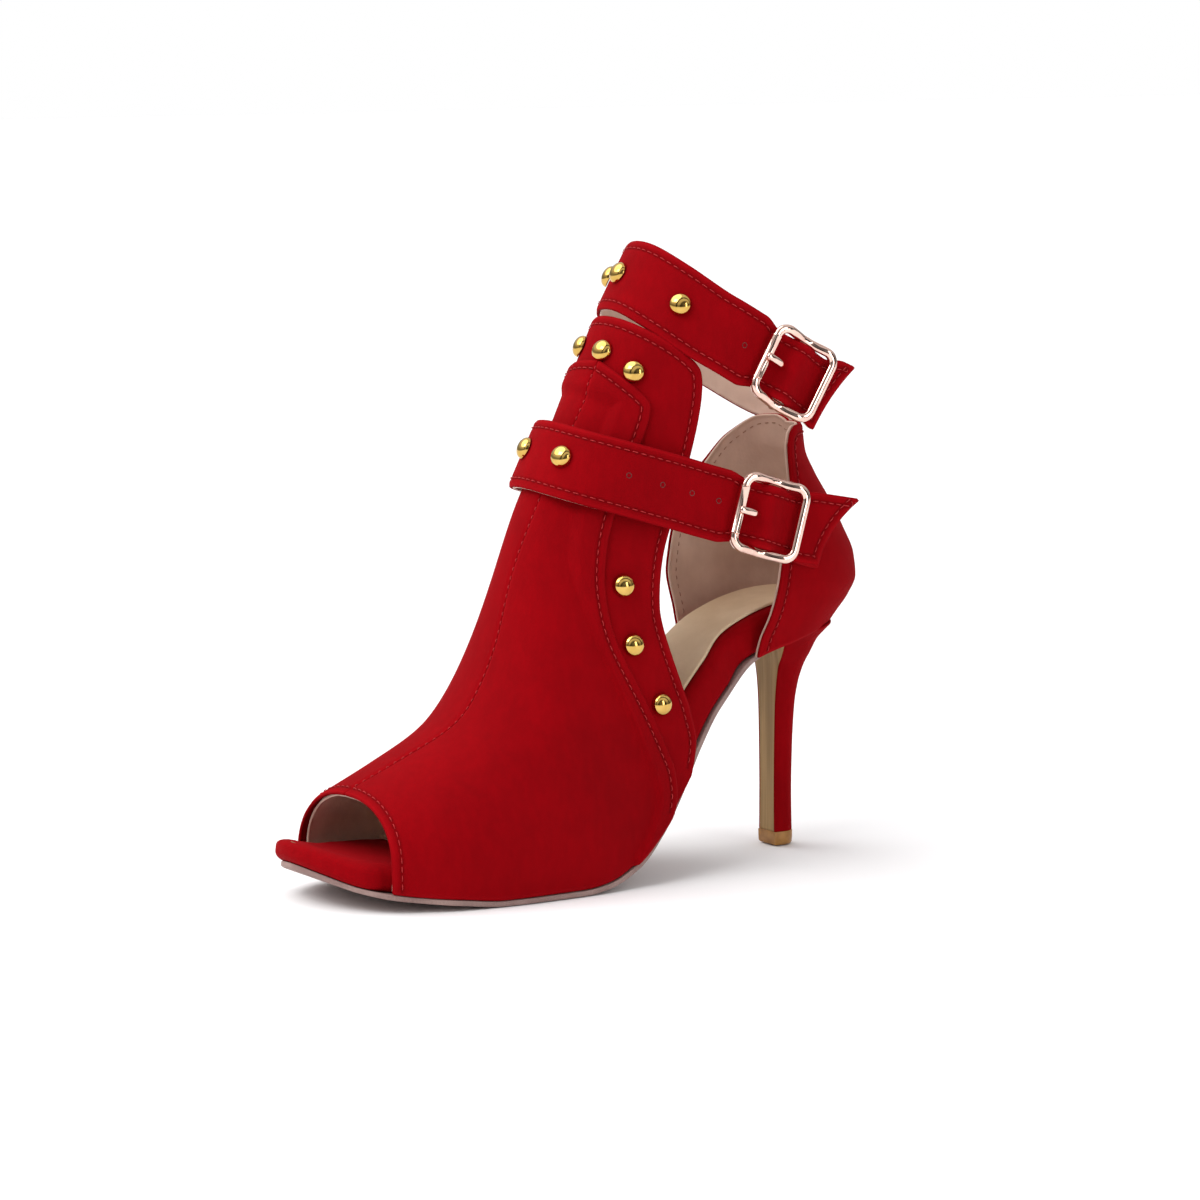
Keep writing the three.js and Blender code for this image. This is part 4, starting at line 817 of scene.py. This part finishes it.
def counter_point(side, reach, z, offset):
    half = counter_half_width(z) + offset
    depth = counter_half_width(z) * 1.12
    middle = counter_back(z) - depth
    front = np.where(side > 0, outer_front_y(z), inner_front_y(z))
    last = np.where(front < middle, math.pi / 2, np.arccos(np.clip((front - middle) / depth, -1, 1)))
    along = reach * (last * depth + np.maximum(0, middle - front))
    angle = np.minimum(along / depth, last)
    straight = np.maximum(0, along - last * depth)
    return stacked(side * half * np.sin(angle), middle + (depth + offset) * np.cos(angle) - straight, z)


def counter_surface(offset):
    def surface(u, v):
        side = np.where(v < 0.5, -1.0, 1.0) + 0 * u
        reach = np.abs(2 * v - 1) + 0 * u
        bottom = np.full(reach.shape, 76.0)
        for _ in range(12):
            bottom = surface_z(counter_point(side, reach, bottom, 0)[..., 1], PLATFORM_BASE)
        z = mix(bottom, np.where(side > 0, outer_top(reach), inner_top(reach)), u)
        spread = 1.4 * (1 - ease(z, 128, 140)) * (1 - ease(reach, 0.74, 0.9)) if offset else 0
        return counter_point(side, reach, z, -offset - spread)

    return surface


def three_edges(grid, skip):
    """The first side, the far end and the last side of a grid, without its first `skip` rows."""
    return np.concatenate([grid[skip:, 0], grid[-1, 1:], grid[-2:skip - 1:-1, -1]])


SEAM_COLUMN = 120
SEAM_DEPTH = 0.35
grid = even_grid(counter_surface(0), 120, 2 * SEAM_COLUMN + 1)
normals = grid_normals(grid)
normals *= np.sign(normals[60, SEAM_COLUMN, 1])
from_seam = np.arange(2 * SEAM_COLUMN + 1) - SEAM_COLUMN
grid -= normals * (SEAM_DEPTH * np.exp(-(from_seam[None, :, None] / 1.2) ** 2))
rim, rim_n = three_edges(grid, 6), three_edges(normals, 6)
turn = 1 if (np.cross(rim_n[20], rim[21] - rim[20]) @ (grid[30, 5] - rim[20])) > 0 else -1
counter_line = along_edge(rim, rim_n, 2.7 * turn, grid, normals)
panel("counter_suede", grid, normals, SUEDE_THICK, red_suede, "shoe", ["counter_outer"],
      [counter_line])
sewn("counter_topstitch", [counter_line], red_thread, "shoe", "suede")

grid = even_grid(counter_surface(SUEDE_THICK + GAP), 110, 221)
normals = grid_normals(grid)
normals *= np.sign(normals[55, 110, 1])
inside = grid - normals * LINING_THICK
lining_line = along_edge(three_edges(inside, 6), -three_edges(normals, 6), -2.7 * turn, inside, -normals)
panel("counter_lining_leather", grid, normals, LINING_THICK, lining_leather, "shoe",
      ["counter_lining"])
lining_thread = thread_finish("lining_thread", (0.50, 0.30, 0.22), (0.30, 0.16, 0.12))
sewn("counter_lining_stitch", [lining_line], lining_thread, "shoe", "lining", length=1.8)

# Straps: two long suede straps with beige lining, folded in at their edges and topstitched all round.
# They are sewn to the inner side of the shoe, run round the front of the leg and pass through their
# buckles, where they are drawn in, rise over the centre bar and end in a slanting cut tail.
STRAP_WAIST_HALF_WIDTH = 10.3
STRAP_LINING_THICK = 0.8
STRAIGHT_BEFORE = 17
BAR_PITCH = 11.8


def free_curve(points):
    """A curve through points, spaced as a strap lies, as a fine line with its length along it."""
    points = np.array(points, float)
    ends = np.concatenate([[2 * points[0] - points[1]], points, [2 * points[-1] - points[-2]]])
    line = []
    for k in range(len(points) - 1):
        p0, p1, p2, p3 = ends[k:k + 4]
        d0, d1, d2 = (max(np.linalg.norm(b - a) ** 0.5, 1e-4) for a, b in ((p0, p1), (p1, p2), (p2, p3)))
        t1 = ((p1 - p0) / d0 - (p2 - p0) / (d0 + d1) + (p2 - p1) / d1) * d1
        t2 = ((p2 - p1) / d1 - (p3 - p1) / (d1 + d2) + (p3 - p2) / d2) * d1
        s = np.linspace(0, 1, 60)[:-1, None]
        line.append(p1 + t1 * s + (3 * (p2 - p1) - 2 * t1 - t2) * s**2 + (2 * (p1 - p2) + t1 + t2) * s**3)
    line.append(points[-1:])
    line = np.concatenate(line)
    return line, lengths_along(line)


class Strap:
    """Where a strap lies: a free curve round the leg, then a straight run through its buckle."""

    def __init__(self, name, points, buckle, along, leg_axis, half_width, tail, above=0.0):
        self.name, self.half_width, self.tail, self.above = name, half_width, tail, above
        self.along = unit(np.array(along, float))
        self.buckle = np.array(buckle, float)
        self.leg_axis = unit(np.array(leg_axis, float))
        joint = self.buckle - self.along * STRAIGHT_BEFORE
        self.line, self.at = free_curve([*points, joint - self.along * 8, joint])
        self.length = self.at[-1]
        self.up = unit(self.leg_axis - self.along * (self.leg_axis @ self.along))
        self.out = np.cross(self.along, self.up)

    def frames(self, u):
        """Middle line, height and outward directions at u millimetres from the buckle's centre bar."""
        u = np.asarray(u, float)
        s = u + STRAIGHT_BEFORE + self.length
        ahead = unit(at_length(s + 0.6, self.at, self.line) - at_length(s - 0.6, self.at, self.line))
        free = (u < -STRAIGHT_BEFORE)[..., None]
        place = np.where(free, at_length(s, self.at, self.line), self.buckle + self.along * u[..., None])
        ahead = np.where(free, ahead, self.along)
        height = unit(self.leg_axis - ahead * (ahead @ self.leg_axis)[..., None])
        return place, height, np.cross(ahead, height)

    def surface(self, offset):
        """The strap's surface at a height above its underside: u runs along it and v across it."""
        first = -STRAIGHT_BEFORE - self.length

        def across(u, v):
            end = mix(self.tail[1], self.tail[0], v**2.2)
            reach = mix(first, end, u)
            place, height, outward = self.frames(reach)
            waist = 1 - ease(np.abs(reach), BAR_PITCH - 2.5, STRAIGHT_BEFORE)
            half = mix(self.half_width, STRAP_WAIST_HALF_WIDTH, waist)
            lift = 3.7 * np.exp(-((reach / 5.2) ** 2))
            rise = 0.11 * np.maximum(0, reach - BAR_PITCH)
            shift = (2 * v - 1) * half + rise
            return place + height * shift[..., None] + outward * (offset + lift)[..., None], outward

        return across


HOLE_PROFILE = [(1.0, 1.35), (0.98, 1.53), (0.88, 1.6), (0.76, 1.56), (0.7, 1.2), (0.68, -0.7)]


def strap_holes(strap, spots, name):
    """Small rings of bare compressed leather round the punched holes, with a bore in each whose wall and
    closing disc are painted dark as painted shade.
    """
    holes = []
    turn = np.arange(20) * math.pi / 10
    place, height, outward = strap.frames(np.array(spots, float))
    for middle, up, out in zip(place, height, outward):
        ahead = np.cross(up, out)
        middle = middle + up * strap.above
        rings = [
            middle + out * depth + radius * (np.cos(turn)[:, None] * ahead + np.sin(turn)[:, None] * up)
            for radius, depth in HOLE_PROFILE]
        points, faces = lofted(rings, closed_ends=False)
        faces.append([len(rings) * 20 - 20 + k for k in range(20)])
        holes.append((points, faces))
    points, faces = joined(holes)
    piece(name, points, faces, hole_rim_and_shade, "shoe", [])


def facing(grid, outward):
    """A grid's normals, each turned to the side that `outward` points to."""
    normals = grid_normals(grid)
    return normals * np.sign((normals * outward).sum(-1, keepdims=True))


# One dark finish for the holes: on the rims it is the bare leather's own colour, in the bores and on the
# discs that close them it is painted shade.
hole = Finish("punched_hole")
hole_speck = hole.noise(3.0, 2)
hole_rim_and_shade = hole.shade(
    Base_Color=hole.blend(hole_speck.between(0.35, 0.65), (0.04, 0.004, 0.004), (0.15, 0.045, 0.04)),
    Roughness=0.8 + 0.1 * hole_speck, Normal=hole.bump(hole_speck, 0.05))

ankle = Strap(
    "ankle",
    [(-4, 97, 159), (-19, 90, 163.5), (-29, 71, 176), (-31, 50, 186.5), (-24.5, 32, 196.5),
     (-12, 22.5, 202.5), (3, 20, 203), (16, 24.8, 197.1), (26, 34.6, 188.1)],
    (33.7, 62.4, 170.8), (0.16, 0.86, -0.52), (0, 0.5, 0.86), 12.6, (21, 17))
instep = Strap(
    "instep",
    [(-31.5, 66, 122), (-34, 48, 126.5), (-33.5, 28, 131.5), (-29, 7, 137.5), (-17.5, -11, 142.5),
     (0, -17, 144.5), (17.8, -12.2, 142), (28.5, 5, 136.5), (31.4, 20, 131.9)],
    (36.7, 50.7, 122.4), (0.16, 0.92, -0.28), (0, 0.46, 0.89), 11.9, (33, 23.5), above=1.2)
for strap, holes in ((ankle, [-20]), (instep, [-53, -41, -29.5, -19])):
    grid, outward = even_grid(strap.surface(np.array(GAP + SUEDE_THICK)), 460, 44)
    normals = facing(grid, outward)
    line = along_edge(three_edges(grid, 8), three_edges(normals, 8), 2.5, grid, normals)
    panel(strap.name + "_strap_suede", grid, normals, SUEDE_THICK, red_suede, "shoe",
          [strap.name + "_strap"], [line])
    sewn(strap.name + "_strap_topstitch", [line], red_thread, "shoe", "suede")
    grid, outward = even_grid(strap.surface(np.array(0.12)), 300, 30)
    panel(strap.name + "_strap_lining_leather", grid, facing(grid, outward), 0.9, lining_leather, "shoe",
          [strap.name + "_strap_lining"])
    strap_holes(strap, holes, strap.name + "_strap_holes")

# Buckles: cast zinc frames plated pale rose gold and polished, rounded square, with a centre bar
# under the strap, a loose roller on the front bar and a bent wire prong that lies over the roller.
RAIL_OFFSET = 12.4
OUTER_BAR_N = 5.0
CENTRE_BAR_N = 0.6
CENTRE_BAR_RADIUS = 1.2
ROLLER_OUTER_RADIUS = 1.85
ROLLER_HALF_LENGTH = 8.2


def plating_finish(name, light, dark, roughness):
    finish = Finish(name)
    cloud = finish.noise(0.3, 2)
    scuff = finish.noise(1.2, 4, (1, 1, 0.3), 0.7)
    colour = finish.blend(cloud.between(0.35, 0.65), light, dark)
    return finish.shade(
        Base_Color=colour, Metallic=1.0, Roughness=roughness + 0.07 * scuff.between(0.45, 0.75),
        Normal=finish.bump(scuff, 0.01))


rose_plating = plating_finish("rose_gold_plating", (0.84, 0.60, 0.51), (0.76, 0.50, 0.42), 0.08)


def on_buckle(strap, points):
    """Turns points in buckle axes (along the strap, up, outwards) into the shoe's own axes."""
    axes = np.stack([strap.along, strap.up, strap.out])
    return strap.buckle - strap.out * STRAP_LINING_THICK + np.asarray(points) @ axes


def tube(centres, section, closed=False):
    """Rings of a section (sideways, outwards) carried along a line in buckle axes."""
    centres = np.array(centres, float)
    ahead = np.roll(centres, -1, 0) - np.roll(centres, 1, 0) if closed else np.gradient(centres, axis=0)
    ahead = unit(ahead)
    out = np.array([0, 0, 1.0])
    side = unit(np.cross(out, ahead))
    up = np.cross(ahead, side)
    rings = [c + ring[:, :1] * s + ring[:, 1:] * u for c, ring, s, u in zip(centres, section, side, up)]
    return np.array(rings)


def looped(rings):
    """Points and faces through closed rings, the last of which joins up with the first."""
    points, faces = lofted(rings, closed_ends=False)
    first = np.arange(len(rings[0]))
    last = (len(rings) - 1) * len(first) + first
    faces += np.stack([last, np.roll(last, -1), np.roll(first, -1), first], -1).tolist()
    return points, faces


def turned(profile, u, n, sides):
    """Rings round a bar at (u, n), from pairs of a radius and a place along the bar."""
    turn = np.arange(sides) * 2 * math.pi / sides
    return [np.stack([u + r * np.cos(turn), np.full(sides, v), n + r * np.sin(turn)], -1) for r, v in profile]


OVAL_SIDES = 20


def oval(width, thick, power):
    turn = (np.arange(OVAL_SIDES) + 0.5) * 2 * math.pi / OVAL_SIDES
    c, s = np.cos(turn), np.sin(turn)
    across = width / 2 * np.sign(c) * np.abs(c) ** (2 / power)
    deep = thick / 2 * np.sign(s) * np.abs(s) ** (2 / power)
    return np.stack([across, deep], -1)


FRAME_STEPS = 230
FRAME_CORNER = 4.0


def rounded_rectangle(half_u, half_v, corner):
    """Evenly spaced points round a rectangle with rounded corners, starting on the side at -u."""
    turn = np.radians(np.linspace(0, 90, 30))
    points = [(-half_u, 0.0)]
    for su, sv, start in ((-1, -1, 180), (1, -1, 270), (1, 1, 0), (-1, 1, 90)):
        u, v = su * (half_u - corner), sv * (half_v - corner)
        points += [(u + corner * math.cos(a), v + corner * math.sin(a)) for a in turn + math.radians(start)]
    points = np.array([*points, points[0]])
    at = lengths_along(points)
    return at_length(np.linspace(0, at[-1], FRAME_STEPS + 1)[:-1], at, points)


def buckle_frame():
    dip, section = [], []
    for u, v in rounded_rectangle(BAR_PITCH, RAIL_OFFSET, FRAME_CORNER):
        dip.append((u, v, OUTER_BAR_N - 2.4 * (1 - ease(abs(u), 1, 9))))
        on_front_bar = u < -BAR_PITCH + 0.05
        bare = on_front_bar and abs(v) < ROLLER_HALF_LENGTH
        section.append(oval(2.2, 2.2, 2) if bare else oval(3.1, 2.8, 2.7))
    ring = looped(tube(dip, section, closed=True))
    bar_line = [(0, v, CENTRE_BAR_N) for v in np.linspace(-RAIL_OFFSET - 0.6, RAIL_OFFSET + 0.6, 12)]
    bar = lofted(tube(bar_line, [oval(2.4, 2.4, 2)] * 12))
    posts = []
    turn = np.arange(16) * math.pi / 8
    for side in (-1, 1):
        rings = [
            np.stack([size * np.cos(turn), side * RAIL_OFFSET + size * np.sin(turn), np.full(16, n)], -1)
            for size, n in ((1.0, -0.55), (1.4, -0.2), (1.5, 0.6), (1.4, 2.0), (1.4, OUTER_BAR_N - 2.0))]
        posts.append(lofted(rings))
    return joined([ring, bar, *posts])


def roller():
    profile = [(1.35, 8.05), (1.5, 8.2), (1.78, 8.2), (1.88, 8.1), (1.88, 7.7), (1.83, 7.6), (1.83, 0)]
    profile = profile + [(r, -v) for r, v in profile[-2::-1]] + [(1.35, -8.05)]
    return looped(turned(profile, -BAR_PITCH, OUTER_BAR_N, 40))


def prong():
    rest = OUTER_BAR_N + ROLLER_OUTER_RADIUS + GAP + 0.75
    bends = [
        (-1.5, CENTRE_BAR_N + 0.9), (-2.6, 2.4), (-4.2, CENTRE_BAR_N + 3.5), (-7, rest - 1),
        (-BAR_PITCH + 1.5, rest), (-BAR_PITCH - 1.6, rest + 0.1),
    ]
    line, _ = free_curve([(u, 0, n) for u, n in bends])
    line = line[::6]
    share = np.linspace(0, 1, len(line))
    size = 1 - 0.75 * np.clip((share - 0.95) / 0.05, 0, 1) ** 2
    arm = lofted(tube(line, [oval(2.4 * s, 1.6 * s, 2.6) for s in size]))
    profile = [(1.45, -1.1), (1.55, -1.2), (2.25, -1.2), (2.35, -1.1)]
    profile += [(r, -v) for r, v in profile[::-1]]
    return joined([arm, looped(turned(profile, 0, CENTRE_BAR_N, 28))])


for strap in (ankle, instep):
    for part, (points, faces) in (("frame", buckle_frame()), ("roller", roller()), ("prong", prong())):
        node = strap.name + "_buckle_" + part
        piece(node + "_plated", on_buckle(strap, points), faces, rose_plating, strap.name + "_" + part,
              [node], sharp=40)

# Buckle tabs: folded suede tabs that loop round each centre bar, slit in the middle for the prong,
# and run back under the strap's tail to where they are sewn down on the counter.


TAB_LEATHER_THICK = 1.0
TAB_TOP_N = -0.5
PRONG_SLIT_HALF_WIDTH = 1.9


def tab(strap, tail_points, straight):
    line, at = free_curve([strap.buckle + strap.along * straight, *map(np.array, tail_points)])

    def frames(s):
        on_straight = (s < straight)[..., None]
        bent = at_length(s - straight, at, line)
        turning = at_length(s - straight + 0.5, at, line) - at_length(s - straight - 0.5, at, line)
        place = np.where(on_straight, strap.buckle + strap.along * s[..., None], bent)
        ahead = np.where(on_straight, strap.along, unit(turning + 1e-9 * strap.along))
        height = unit(strap.up - ahead * (ahead @ strap.up)[..., None])
        return place, height, np.cross(ahead, height)

    def strip(u, v):
        place, height, outward = frames(mix(3.2, straight + at[-1], u) + 0 * v)
        across = height * ((2 * v - 1) * STRAP_WAIST_HALF_WIDTH)[..., None]
        return place + across + outward * (TAB_TOP_N - STRAP_LINING_THICK), outward

    grid, outward = even_grid(strip, 70, 24)
    parts = [hide(grid, facing(grid, outward), 2 * TAB_LEATHER_THICK)]
    radius = CENTRE_BAR_RADIUS + GAP + 1.25
    slit, edge = PRONG_SLIT_HALF_WIDTH, STRAP_WAIST_HALF_WIDTH
    for low, high in ((-edge, -slit), (slit, edge)):

        def loop(u, v, low=low, high=high):
            angle = mix(math.radians(-90), math.radians(-335), u) + 0 * v
            across = mix(low, high, v) + 0 * u
            run = np.clip((0.12 - u) / 0.12, 0, 1) * 3.6
            ring = stacked(run + radius * np.cos(angle), across, CENTRE_BAR_N + radius * np.sin(angle))
            return on_buckle(strap, ring)

        grid = even_grid(loop, 40, 14)
        bar = on_buckle(strap, stacked(0, np.linspace(low, high, 14)[None], CENTRE_BAR_N))
        parts.append(hide(grid, facing(grid, grid - bar), TAB_LEATHER_THICK))
    points, faces = joined(parts)
    piece(strap.name + "_tab_suede", points, faces, red_suede, "shoe", [strap.name + "_buckle_tab"])


tab(ankle, [(24, 88, 160), (9, 97.5, 158)], 14)
tab(instep, [(31.2, 76, 114.2), (29.8, 82, 112.6)], 10)

# Studs: small hollow brass domes, polished gold, each on a post pushed through the suede.
gold_plating = plating_finish("gold_plating", (0.66, 0.43, 0.12), (0.58, 0.36, 0.09), 0.09)


def dome():
    profile = [(0.0, -1.5), (0.8, -1.5), (0.8, 0.0), (3.6, 0.0), (3.85, 0.06), (3.9, 0.22), (3.84, 0.42)]
    profile += [(3.84 * math.cos(a), 0.42 + 2.58 * math.sin(a)) for a in np.radians(np.arange(8, 90, 8))]
    profile.append((0.0, 3.0))
    turn = np.arange(40) * math.pi / 20
    rings = [np.stack([r * np.cos(turn), r * np.sin(turn), np.full(40, n)], -1) for r, n in profile]
    return lofted(np.array(rings), closed_ends=False)


def set_stud(node, seat, outward):
    across = unit(np.cross(outward, [0.3, 0.2, 1]))
    points, faces = dome()
    axes = np.stack([across, np.cross(outward, across), outward])
    piece(node + "_dome", seat + outward * 0.25 + points @ axes, faces, gold_plating, "shoe",
          [node], sharp=35)


PANEL_STUDS = {
    "front_inner": (7.4, -17), "front_middle": (7.35, 9), "front_outer": (7.24, 32),
    "side_upper": (5.1, 58), "side_middle": (4.75, 67.5), "side_lower": (4.65, 82),
    "far_upper": (5.1, -58), "far_middle": (4.75, -67.5), "far_lower": (4.65, -82),
}
for where, (section, degrees) in PANEL_STUDS.items():
    section, degrees = np.array(float(section)), np.array(float(degrees))
    set_stud("panel_stud_" + where, arch(section, degrees), arch_normal(section, degrees))
for strap, spots in ((ankle, (0.595, 0.665, 0.832)), (instep, (0.54, 0.66))):
    for number, spot in enumerate(spots, 1):
        place, height, outward = strap.frames(np.array(-STRAIGHT_BEFORE - strap.length * (1 - spot)))
        seat = place + outward * (GAP + SUEDE_THICK) + height * strap.above
        set_stud(f"{strap.name}_stud_{number}", seat, outward)

# Inside the shoe: board, packing, shank, heel moulding, fixings and stiffener keep their own solids
# and get plain workshop finishes.


def inner_finish(name, light, dark, per_mm, roughness, metal=0.0):
    finish = Finish(name)
    speck = finish.noise(per_mm, 3)
    return finish.shade(
        Base_Color=finish.blend(speck.between(0.35, 0.65), dark, light), Roughness=roughness + 0.15 * speck,
        Metallic=metal, Normal=finish.bump(speck, 0.05))


fibre_board = inner_finish("fibre_board", (0.30, 0.21, 0.12), (0.19, 0.13, 0.07), 2.0, 0.75)
packing_foam = inner_finish("packing_foam", (0.66, 0.52, 0.32), (0.52, 0.38, 0.22), 3.0, 0.8)
heel_plastic = inner_finish("heel_plastic", (0.72, 0.67, 0.58), (0.64, 0.59, 0.5), 0.6, 0.45)
plain_steel = inner_finish("plain_steel", (0.50, 0.51, 0.53), (0.36, 0.37, 0.39), 1.5, 0.3, 1.0)
stiffener_sheet = inner_finish("stiffener_sheet", (0.52, 0.43, 0.30), (0.43, 0.35, 0.24), 1.2, 0.6)
INNER = {
    "insole_board": fibre_board, "platform_core": packing_foam, "heel_block": heel_plastic,
    "counter_stiffener": stiffener_sheet, "steel_shank": plain_steel, "heel_dowel": plain_steel,
    "heel_screw": plain_steel, "heel_nail_1": plain_steel, "heel_nail_2": plain_steel,
    "heel_nail_3": plain_steel, "heel_nail_4": plain_steel, "top_piece_pin": plain_steel,
}
for node, finish in INNER.items():
    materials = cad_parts[node].data.materials
    materials.clear()
    materials.append(finish)

# Studio: a plain pale floor under a wide soft light from overhead, with a key light in front and a
# weaker one at the right. Pale walls with darker gaps between them give the metal something to
# reflect. The camera stands ahead of the shoe's outer side and a little above it.
bpy.ops.mesh.primitive_plane_add(size=14, location=(0, 0, -0.0003))
floor = bpy.context.object
floor.name = "studio_floor"
floor_paint = Finish("floor_paint")
floor_cloud = floor_paint.noise(0.004, 2)
floor.data.materials.append(floor_paint.shade(
    Base_Color=floor_paint.blend(floor_cloud, (0.88, 0.88, 0.885), (0.92, 0.92, 0.925)), Roughness=0.9))


def soft_light(name, place, aim, size, power):
    data = bpy.data.lights.new(name, "AREA")
    data.shape, data.size, data.size_y = "RECTANGLE", size[0], size[1]
    data.energy = power
    light = bpy.data.objects.new(name, data)
    light.location = place
    direction = np.array(aim, float) - np.array(place, float)
    light.rotation_euler = Vector(direction).to_track_quat("-Z", "Y").to_euler()
    bpy.context.scene.collection.objects.link(light)


soft_light("key_light", (0.2, -1.1, 1.25), (0, 0, 0.08), (0.8, 0.6), 7)
soft_light("side_light", (1.5, 0.4, 0.5), (0, 0, 0.1), (0.35, 0.8), 4)
sky_data = bpy.data.lights.new("overhead_light", "SUN")
sky_data.energy = 2.1
sky_data.angle = math.radians(70)
sky = bpy.data.objects.new("overhead_light", sky_data)
sky.rotation_euler = Vector((0.25, 0.5, -1.0)).to_track_quat("-Z", "Y").to_euler()
bpy.context.scene.collection.objects.link(sky)
world = bpy.data.worlds.new("studio_air")
world.use_nodes = True
bpy.context.scene.world = world
air = world.node_tree
lit = air.nodes["Background"]
lit.inputs["Strength"].default_value = 1.0
compass = air.nodes.new("ShaderNodeTexCoord")
split = air.nodes.new("ShaderNodeSeparateXYZ")
height_ramp = air.nodes.new("ShaderNodeValToRGB")
side_ramp = air.nodes.new("ShaderNodeValToRGB")
walls = air.nodes.new("ShaderNodeMix")
walls.data_type, walls.blend_type = "RGBA", "MULTIPLY"
walls.inputs[0].default_value = 1.0


def set_stops(ramp, stops):
    while len(ramp.elements) < len(stops):
        ramp.elements.new(0.5)
    for element, (place, grey) in zip(ramp.elements, stops):
        element.position, element.color = place, (grey, grey, grey, 1)


set_stops(height_ramp.color_ramp, [(0.0, 0.45), (0.06, 0.25), (0.2, 0.35), (0.34, 0.75), (0.6, 0.9)])
set_stops(side_ramp.color_ramp, [
    (0.0, 1.0), (0.3, 1.0), (0.36, 0.1), (0.48, 0.1), (0.54, 1.0), (0.74, 0.95), (0.8, 0.12), (0.9, 0.2),
    (1.0, 0.6),
])
air.links.new(compass.outputs["Generated"], split.inputs[0])
air.links.new(split.outputs["Z"], height_ramp.inputs[0])
air.links.new(split.outputs["X"], side_ramp.inputs[0])
air.links.new(height_ramp.outputs["Color"], walls.inputs[6])
air.links.new(side_ramp.outputs["Color"], walls.inputs[7])
air.links.new(walls.outputs[2], lit.inputs["Color"])
seen = air.nodes.new("ShaderNodeBackground")
seen.inputs["Color"].default_value = (1, 1, 1, 1)
seen.inputs["Strength"].default_value = 1.0
path = air.nodes.new("ShaderNodeLightPath")
choice = air.nodes.new("ShaderNodeMixShader")
air.links.new(path.outputs["Is Camera Ray"], choice.inputs[0])
air.links.new(lit.outputs[0], choice.inputs[1])
air.links.new(seen.outputs[0], choice.inputs[2])
air.links.new(choice.outputs[0], air.nodes["World Output"].inputs["Surface"])
bpy.context.scene.view_settings.view_transform = "Standard"

DISTANCE = 1.5
VIEW_WIDTH = 0.411664
around, above = math.radians(56.6), math.radians(8.2)
aim = np.array([ORIGIN[0], 7.8 + ORIGIN[1], 93]) * 0.001
camera_data = bpy.data.cameras.new("camera")
camera_data.sensor_width = 36
camera_data.lens = camera_data.sensor_width * DISTANCE / VIEW_WIDTH
camera = bpy.data.objects.new("camera", camera_data)
camera.location = aim + DISTANCE * np.array([
    math.sin(around) * math.cos(above), -math.cos(around) * math.cos(above), math.sin(above)])
camera.rotation_euler = (math.pi / 2 - above, 0, around)
bpy.context.scene.collection.objects.link(camera)
bpy.context.scene.camera = camera
